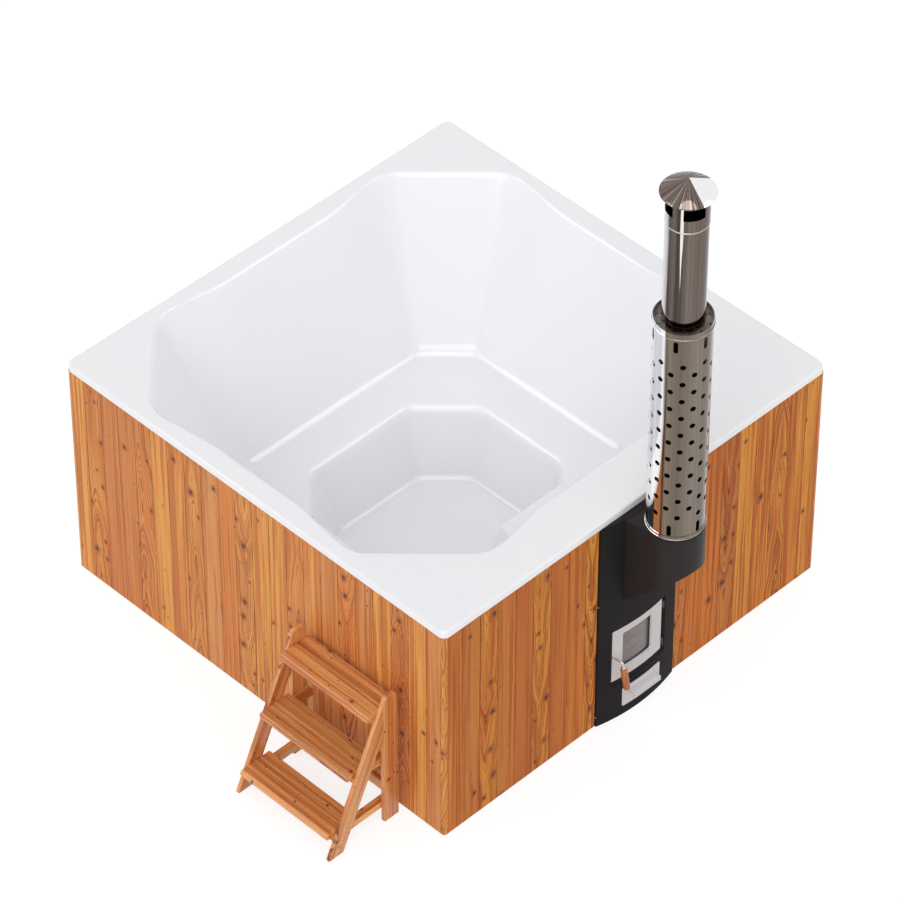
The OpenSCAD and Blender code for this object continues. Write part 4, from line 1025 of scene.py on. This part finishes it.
# Cladding: boards as wide as the pitch of their joints, each with grain values of its own. The last ones of a
# run are cut to what is left, and are there only if that is more than a sliver of the pitch
claddingSizes = {"Pitch": 0.0909091, "Gap": 0.0005, "Thickness": 0.018, "Edge": 0.0016, "Bottom": 0.004,
                 "Top": 1.030, "Face": -1.0, "Run Start": -0.982, "Run End": 0.982, "Turn": 0.0, "Seed": 0}
sliver = 0.001
runs = [
    ("cladding_left", "boardsLeft", "larch", {"Turn": math.radians(-90), "Seed": 0}),
    ("cladding_right", "boardsRight", "larch", {"Turn": math.radians(90), "Seed": 40}),
    ("cladding_back", "boardsBack", "larch", {"Turn": math.radians(180), "Seed": 80}),
    ("cladding_front_left", "boardsFrontLeft", "larchShadedFront", {"Run End": -0.209, "Seed": 120}),
    ("cladding_front_right", "boardsFrontRight", "larchShadedFront", {"Run Start": 0.209, "Seed": 140}),
]


def boardTree():
    tree, at = newTree("boardRun", claddingSizes)
    firstJoint = calc("FLOOR", at["Run Start"] / at["Pitch"] + sliver)
    lastJoint = calc("CEIL", at["Run End"] / at["Pitch"] - sliver)
    width = at["Pitch"] - at["Gap"]
    board = raisedShape(roundedRim(width, at["Thickness"], at["Edge"], 4), at["Top"] - at["Bottom"])
    board = store(board, "grainAt", geo(tree, "InputPosition"), "FLOAT_VECTOR")
    index = geo(tree, "InputIndex")
    joint = (index + firstJoint) * at["Pitch"]
    left = calc("MAXIMUM", joint, at["Run Start"])
    right = calc("MINIMUM", joint + at["Pitch"], at["Run End"])
    share = (right - left - at["Gap"]) / width
    depth = at["Face"] + at["Thickness"] * 0.5
    points = geo(tree, "Points", {"Count": lastJoint - firstJoint})
    points = setPosition(points, point((left + right) * 0.5, depth, at["Bottom"]))
    boards = geo(tree, "InstanceOnPoints", {"Points": points, "Instance": board,
                 "Scale": point(share, 1.0, 1.0)})
    boards = store(boards, "grainSeed", index + at["Seed"], domain="INSTANCE")
    return finishTree(moved(boards, Rotation=point(0.0, 0.0, at["Turn"])), at["Material"])


runOfBoards = boardTree()
for node, name, wood, own in runs:
    piece = growPiece(name, runOfBoards, {**claddingSizes, **own}, wood)
    smoothFaces(piece, 50)
    place(piece, node)
    print(name, len(piece.data.polygons), "faces")


# Timber frame and steps: how far the edges are eased
timberEdges = {"frame": 0.002, "leg": 0.0045, "tread": 0.003, "cleat": 0.0025}
timberPiece("corner_trims", "cornerStrips", 200)
frameTimbers = [("corner_posts", "cornerPosts"), ("studs", "studs"), ("top_rails", "topRails"),
                ("mid_rails", "middleRails"), ("bottom_rails", "bottomRails"), ("base_joists", "baseJoists")]
for number, (node, name) in enumerate(frameTimbers):
    timberPiece(node, name, 220 + 20 * number, timberEdges["frame"], segments=1)
timberPiece("step_legs", "stepLegs", 400, timberEdges["leg"], along=(0.459, 0, 1))
for node, name, seed, edge in (("posts", "Posts", 404, "leg"), ("tread_top", "TreadTop", 411, "tread"),
                               ("tread_middle", "TreadMiddle", 414, "tread"),
                               ("tread_bottom", "TreadBottom", 417, "tread"),
                               ("cleats", "Cleats", 421, "cleat"), ("cross_rail", "CrossRail", 431, "cleat")):
    timberPiece("step_" + node, "step" + name, seed, timberEdges[edge])
print("timber and steps finished")


# Stove: how far the edges are eased
stoveEdges = {"panel": 0.0012, "cap": 0.0008, "hood": 0.001, "frame": 0.0026, "drawer": 0.0008}
metalPiece("stove_panel", "stovePanel", stoveEdges["panel"])
metalPiece("panel_cap", "panelCap", stoveEdges["cap"], material="hood")
metalPiece("hood", "chimneyHood", stoveEdges["hood"], material="hood")
metalPiece("door_surround", "doorRecess")
doorFrame = metalPiece("door_frame", "doorFrame", stoveEdges["frame"], 3)
metalPiece("glass_retainer", "glassRetainer")
metalPiece("door_glass", "doorGlass")
drawerFront = metalPiece("ash_drawer_front", "drawerFront", stoveEdges["drawer"], material="drawer")
# the hinge pins are dark: painted shade in the gap beside the door
metalPiece("hinge_pins", "hingePins", material="black_steel")
for node in ("latch_catch", "ash_drawer_box", "ash_chamber", "firebox", "fire_grate", "stove_stand",
             "smoke_duct", "water_ports", "port_nuts", "circulation_pipes", "drain_fitting", "drain_nut",
             "drain_pipe", "drain_valve", "valve_ball", "valve_lever"):
    metalPiece(node, "fine_" + node)
timberPiece("latch_grip", "latchGrip", 500)


# A second material on the faces that a test picks by their middles
def coatFaces(piece, material, test):
    piece.data.materials.append(materials[material])
    for face in piece.data.polygons:
        if test(face.center, face.normal):
            face.material_index = len(piece.data.materials) - 1


# What is coated apart: the hinge lugs, dark as painted shade, and the sides of the window and the top of the
# drawer's shelf, pale as painted highlight
coatSizes = {"lugFrom": 0.1184, "windowX": (-0.0960, 0.0630), "windowZ": (0.2470, 0.4380), "side": 0.35,
             "shelfFrom": -1.0385}


def inWindow(middle, normal, s=coatSizes):
    inside = s["windowX"][0] < middle.x < s["windowX"][1] and s["windowZ"][0] < middle.z < s["windowZ"][1]
    return inside and max(abs(normal.x), abs(normal.z)) > s["side"]


# painted shade: the hinge lugs are dark
coatFaces(doorFrame, "black_steel", lambda middle, normal: middle.x > coatSizes["lugFrom"])
# painted highlight: the sides of the door's window are pale
coatFaces(doorFrame, "reveal", inWindow)
# painted highlight: the upward faces of the drawer's shelf are pale
coatFaces(drawerFront, "reveal", lambda middle, normal: middle.y < coatSizes["shelfFrom"] and normal.z > 0.5)

# Cords that run round the door on its arc: half width and depth, and the box and depth of the middle line.
# The rope has twisted lobes; the gasket is square and dark, as painted shade for the inside of the window's
# recess
doorCords = [
    {"piece": "doorSeal", "node": "door_seal", "Width": 0.204, "Height": 0.236, "Middle X": -0.0165,
     "Middle Z": 0.3425, "Corner": 0.006, "Depth": 0.02245, "Half Width": 0.0049, "Half Depth": 0.0041,
     "Spacing": 0.003, "Sides": 18, "Profile Turn": 0.0, "Lobes": 3.0, "Lobe Depth": 0.22, "Turns": 36.0},
    {"piece": "glassGasketAndShade", "node": "", "Width": 0.1502, "Height": 0.1822, "Middle X": -0.0165,
     "Middle Z": 0.3425, "Corner": 0.005, "Depth": 0.0159, "Half Width": 0.0018, "Half Depth": 0.0031,
     "Spacing": 0.002, "Sides": 4, "Profile Turn": math.pi / 4, "Lobes": 0.0, "Lobe Depth": 0.0,
     "Turns": 0.0},
]
stoveArc = {"Arc Radius": 0.782862, "Arc Middle": -0.252138}


def cordTree():
    tree, at = newTree("doorCord", {key: value for key, value in {**doorCords[0], **stoveArc}.items()
                                    if key not in ("piece", "node")})
    path = roundedRim(at["Width"], at["Height"], at["Corner"], 8)
    path = geo(tree, "ResampleCurve", {"Curve": path, "Length": at["Spacing"]}, mode="LENGTH")
    flat = parts(geo(tree, "InputPosition"))
    x = flat[0] + at["Middle X"]
    radius = at["Arc Radius"] - at["Depth"]
    y = at["Arc Middle"] - calc("SQRT", radius * radius - x * x)
    path = setPosition(path, point(x, y, flat[1] + at["Middle Z"]))
    twist = geo(tree, "SplineParameter") * (at["Turns"] * (2 * math.pi))
    path = geo(tree, "SetCurveTilt", {"Curve": path, "Tilt": twist})
    circle = geo(tree, "CurvePrimitiveCircle", {"Resolution": at["Sides"], "Radius": 1.0})
    rim = geo(tree, "InputPosition")
    side = parts(rim)
    lobe = calc("COSINE", calc("ARCTAN2", side[1], side[0]) * at["Lobes"])
    circle = setPosition(circle, scaled(rim, 1.0 - at["Lobe Depth"] * (lobe * -0.5 + 0.5)))
    circle = moved(circle, Rotation=point(0.0, 0.0, at["Profile Turn"]))
    circle = moved(circle, Scale=point(at["Half Depth"], at["Half Width"], 1.0))
    return finishTree(geo(tree, "CurveToMesh", {"Curve": path, "Profile Curve": circle}), at["Material"])


cordRun = cordTree()
for cord in doorCords:
    piece = growPiece(cord["piece"], cordRun, {**cord, **stoveArc}, "seal")
    smoothFaces(piece, 60)
    if cord["node"]:
        place(piece, cord["node"])
    else:
        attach(piece, "stove_door")
    print(cord["piece"], len(piece.data.polygons), "faces")


# Screws of the panel's returns: domed heads with a hexagon socket, and their shanks
screwSizes = {"Head Radius": 0.0024, "Head Height": 0.001, "Dome": 0.00045, "Shank Radius": 0.0014,
              "Shank Length": 0.0078, "Socket Radius": 0.0013, "Out": 0.2077, "Depth": -1.0032, "Low": 0.050,
              "High": 0.634}


def screwTree():
    tree, at = newTree("panelScrews", screwSizes)
    radius = at["Head Radius"]
    height = at["Head Height"]
    head = geo(tree, "MeshCylinder", {"Vertices": 32, "Side Segments": 2, "Fill Segments": 6,
               "Radius": radius, "Depth": height})
    spot = parts(geo(tree, "InputPosition"))
    share = (spot[0] * spot[0] + spot[1] * spot[1]) / (radius * radius)
    sink = share * at["Dome"] * (spot[2] > 0.0001)
    head = geo(tree, "SetPosition", {"Geometry": head, "Offset": point(0.0, 0.0, sink * -1.0)})
    socket = geo(tree, "MeshCylinder", {"Vertices": 6, "Radius": at["Socket Radius"], "Depth": height})
    head = cutBy(head, moved(socket, Translation=point(0.0, 0.0, height * 0.62)))
    shank = geo(tree, "MeshCylinder", {"Vertices": 20, "Radius": at["Shank Radius"],
                "Depth": at["Shank Length"]})
    screw = joined(moved(head, Translation=point(0.0, 0.0, height * 0.5)),
                   moved(shank, Translation=point(0.0, 0.0, at["Shank Length"] * -0.5)))
    index = geo(tree, "InputIndex")
    side = index % 2.0 * 2.0 - 1.0
    z = (index > 1.5) * (at["High"] - at["Low"]) + at["Low"]
    points = setPosition(geo(tree, "Points", {"Count": 4}), point(side * at["Out"], at["Depth"], z))
    turn = point(0.0, side * (math.pi / 2), 0.0)
    screws = geo(tree, "InstanceOnPoints", {"Points": points, "Instance": screw, "Rotation": turn})
    return finishTree(screws, at["Material"])


panelScrews = growPiece("panelScrews", screwTree(), screwSizes, "reveal")
smoothFaces(panelScrews, 35)
place(panelScrews, "panel_screws")

# Latch rod: one smooth bend from the door down into the grip, with a collar above it and the tongue behind
rodSizes = {"start": (-135.2, -1002.0, 332.0), "corner": (5, -61, 0), "gripTop": (5, -66, -24),
            "end": (5, -78, -82), "cut": 18, "radius": 3.5, "outerRadius": 4.5, "sides": 20,
            "bendSteps": 14, "collar": 9.5, "collarLong": 6.0, "ease": 0.9, "rose": 7.5, "roseFrom": 17.6,
            "roseLong": 3.2, "tongueLow": (-8, -0.6, -4), "tongueHigh": (2, 4.0, 4)}


def sweepRod(s):
    start = Vector(s["start"])
    corner, top, end = (start + Vector(s[key]) for key in ("corner", "gripTop", "end"))
    line = (end - top).normalized()
    arc = [bend(toward(corner, start, s["cut"]), corner, toward(corner, top, s["cut"]), k / s["bendSteps"])
           for k in range(s["bendSteps"] + 1)]
    out = (corner - start).normalized()
    near = start + out * s["roseFrom"]
    far = near + out * s["roseLong"]
    path = [(start - out * 0.8, s["radius"]), (near, s["radius"]), (near, s["rose"]),
            (far - out * s["ease"], s["rose"]), (far, s["rose"] - s["ease"]), (far, s["outerRadius"])]
    path += [(p, s["outerRadius"]) for p in arc]
    low = top - line * 0.3
    high = low - line * s["collarLong"]
    ease = line * s["ease"]
    path += [(high, s["outerRadius"]), (high, s["collar"] - s["ease"]), (high + ease, s["collar"]),
             (low - ease, s["collar"]), (low, s["collar"] - s["ease"]), (low, s["radius"])]
    path.append((end, s["radius"]))
    points = []
    for number, (spot, radius) in enumerate(path):
        ahead = next((p for p, _ in path[number + 1:] if (p - spot).length > 1e-6), spot + line)
        behind = next((p for p, _ in path[:number][::-1] if (p - spot).length > 1e-6), spot - (ahead - spot))
        way = (ahead - behind).normalized()
        side = Vector((1, 0, 0))
        side = (side - way * side.dot(way)).normalized()
        up = way.cross(side)
        for k in range(s["sides"]):
            angle = 2 * math.pi * k / s["sides"]
            points.append((spot + (side * math.cos(angle) + up * math.sin(angle)) * radius) * mm)
    faces = []
    n = s["sides"]
    for row in range(len(path) - 1):
        at = row * n
        faces += [(at + k, at + (k + 1) % n, at + n + (k + 1) % n, at + n + k) for k in range(n)]
    faces += [tuple(range(n))[::-1], tuple(range((len(path) - 1) * n, len(path) * n))]
    first = len(points)
    low, high = Vector(s["tongueLow"]) + start, Vector(s["tongueHigh"]) + start
    for x in (low.x, high.x):
        points += [Vector((x, y, z)) * mm for y in (low.y, high.y) for z in (low.z, high.z)]
    sides = ((0, 1, 3, 2), (4, 6, 7, 5), (0, 4, 5, 1), (2, 3, 7, 6), (0, 2, 6, 4), (1, 5, 7, 3))
    faces += [tuple(first + corner for corner in side) for side in sides]
    return newPiece("latchRod", [tuple(p) for p in points], faces, materials["stainless"])


latchRod = sweepRod(rodSizes)
rework(latchRod, closeSkin)
smoothFaces(latchRod, 40)
place(latchRod, "latch_rod")
print("stove finished")


guardSizes = {"Centre": chimneyAxis, "Radius": 0.109, "Sheet": 0.0012, "Low": 1.0306, "High": 2.0326,
              "Sides": 144, "Hole Radius": 0.011, "Columns": 16, "Rows": 10, "First Row": 0.116,
              "Pitch": 0.0814, "Slot Width": 0.017, "Slot Length": 0.052, "Slots": 6,
              "Slot Turn": math.radians(30), "Slot Low": 0.049, "Slot High": 0.940}


# Perforated tube: staggered columns of round holes, and a row of upright slots near each end
def guardTree():
    tree, at = newTree("perforatedTube", guardSizes)
    wallRadius = at["Sheet"] * -0.5 + at["Radius"]
    circle = geo(tree, "CurvePrimitiveCircle", {"Resolution": at["Sides"], "Radius": wallRadius})
    circle = geo(tree, "SetCurveNormal", {"Curve": circle}, mode="Z_UP")
    height = at["High"] - at["Low"]
    profile = geo(tree, "CurvePrimitiveQuadrilateral", {"Width": at["Sheet"], "Height": height})
    tube = geo(tree, "CurveToMesh", {"Curve": circle, "Profile Curve": profile})
    tube = moved(tube, Translation=point(0.0, 0.0, (at["High"] + at["Low"]) * 0.5))

    # the punch, laid flat, at each of a count of places round the tube
    def punches(count, angle, z, punch, past=None):
        spot = point(wallRadius * calc("COSINE", angle), wallRadius * calc("SINE", angle), z + at["Low"])
        points = store(setPosition(geo(tree, "Points", {"Count": count}), spot), "angle", angle)
        if past:
            points = geo(tree, "DeleteGeometry", {"Geometry": points, "Selection": past}, domain="POINT")
        angle = geo(tree, "InputNamedAttribute", {"Name": "angle"}, data_type="FLOAT")
        turned = point(0.0, math.pi / 2, angle)
        made = geo(tree, "InstanceOnPoints", {"Points": points, "Instance": punch, "Rotation": turned})
        return geo(tree, "RealizeInstances", {"Geometry": made})

    index = geo(tree, "InputIndex")
    column = calc("FLOOR", (index + 0.5) / at["Rows"])
    row = index - column * at["Rows"]
    odd = column % 2.0
    rise = (odd * 0.5 + row) * at["Pitch"] + at["First Row"]
    drill = geo(tree, "MeshCylinder", {"Vertices": 24, "Radius": at["Hole Radius"], "Depth": 0.012})
    holes = punches(at["Columns"] * at["Rows"], column * (2 * math.pi) / at["Columns"], rise, drill,
                    row + odd * 1.5 > at["Rows"])

    upper = index > at["Slots"] - 0.5
    rise = at["Slot Low"] + upper * (at["Slot High"] - at["Slot Low"])
    angle = at["Slot Turn"] + index % at["Slots"] * (2 * math.pi) / at["Slots"]
    slot = raisedShape(roundedRim(at["Slot Length"], at["Slot Width"], at["Slot Width"] * 0.499, 8), 0.012)
    slots = punches(at["Slots"] * 2.0, angle, rise, moved(slot, Translation=(0.0, 0.0, -0.006)))
    return finishTree(moved(cutBy(tube, holes, slots), Translation=at["Centre"]), at["Material"])


heatGuard = growPiece("heatGuard", guardTree(), guardSizes, "guard")
roundShading(heatGuard)
place(heatGuard, "guard")
print("heat guard:", len(heatGuard.data.polygons), "faces")

tubeSizes = {"steps": 160, "lowerSheet": 0.0015, "upperSheet": 0.0012, "bandSheet": 0.0021,
             "bandBulge": 0.0012, "edge": 0.0004, "ringInner": 0.1093, "ringOuter": 0.1104,
             "ringBead": 0.0032, "ringLow": 0.021, "ringHigh": 0.026, "beadLow": 0.008, "beadHigh": 0.0235,
             "beadHighlightFrom": 0.1133, "coneRise": 0.058, "coneSheet": 0.0014, "coneHem": 0.003,
             "coneEase": 0.0012}


# Radius, bottom and top of a CAD node that is turned about the chimney's axis
def turnedSize(node):
    low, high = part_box(node)
    return (high[0] - low[0]) / 2, low[2], high[2]


def bulge(radius, middle, out, half, spread, count=10):
    steps = [math.radians(-spread + 2 * spread * k / count) for k in range(count + 1)]
    return [(radius + out * math.cos(t), middle + half * math.sin(t)) for t in steps]


# Plain tubes with their ends slightly rounded
# the lower flue is near-black sooted steel, partly its own colour and partly painted shade for the dark
# inside of the guard
for node, name, sheet, material in (("flue_lower", "flueLower", tubeSizes["lowerSheet"], "soot"),
                                    ("flue_upper", "flueUpper", tubeSizes["upperSheet"], "flue")):
    outer, low, high = turnedSize(node)
    inner = outer - sheet
    ease = tubeSizes["edge"]
    rim = [(inner, low + ease), (inner + ease, low), (outer - ease, low), (outer, low + ease),
           (outer, high - ease), (outer - ease, high), (inner + ease, high), (inner, high - ease)]
    turnedPiece(node, name, [rim], material)

outer, low, high = turnedSize("flue_band")
inner = outer - tubeSizes["bandSheet"]
out = tubeSizes["bandBulge"]
rim = [(inner, low), *bulge(outer - out, (low + high) / 2, out, (high - low) / 2, 90), (inner, high)]
turnedPiece("flue_band", "flueBand", [rim], "bright")

low, high = turnedSize("guard_rings")[1:]
rings = []
for bottom, top, bead in ((low, low + tubeSizes["ringLow"], low + tubeSizes["beadLow"]),
                          (high - tubeSizes["ringHigh"], high, high - tubeSizes["beadHigh"])):
    inner, outer, out = (tubeSizes[key] for key in ("ringInner", "ringOuter", "ringBead"))
    rim = bulge(outer, bead, out, out, 80)
    rings.append([(inner, bottom), (outer, bottom), *rim, (outer, top), (inner, top)])
guardRings = turnedPiece("guard_rings", "guardRings", rings, "guard")
# painted highlight: the outer part of each bead takes the brighter banded steel
coatFaces(guardRings, "bright",
          lambda middle, normal: (middle - Vector(chimneyAxis)).xy.length > tubeSizes["beadHighlightFrom"])

brim, _, apex = turnedSize("cap_cone")
eaves = apex - tubeSizes["coneRise"]
hem = eaves - tubeSizes["coneHem"]
sheet = tubeSizes["coneSheet"]
rim = [(0.0, apex), (brim - tubeSizes["coneEase"], eaves + 0.0007), (brim, eaves - 0.0005), (brim, hem),
       (brim - sheet, hem), (brim - sheet, eaves - sheet), (0.0, apex - sheet - 0.0002)]
turnedPiece("cap_cone", "capCone", [rim], "cap", 30)

spacer = metalPiece("spacer_ring", "spacerRing", material="flue")
# painted shade: the spacer's inward faces are near black, for the dark inside of the guard
coatFaces(spacer, "soot",
          lambda middle, normal: normal.xy.dot((middle - Vector(chimneyAxis)).xy.normalized()) < 0.5)
coatFaces(spacer, "spacerTop", lambda middle, normal: normal.z > 0.9)
roundShading(metalPiece("cap_sleeve", "capSleeve", material="flue"))
print("chimney finished")
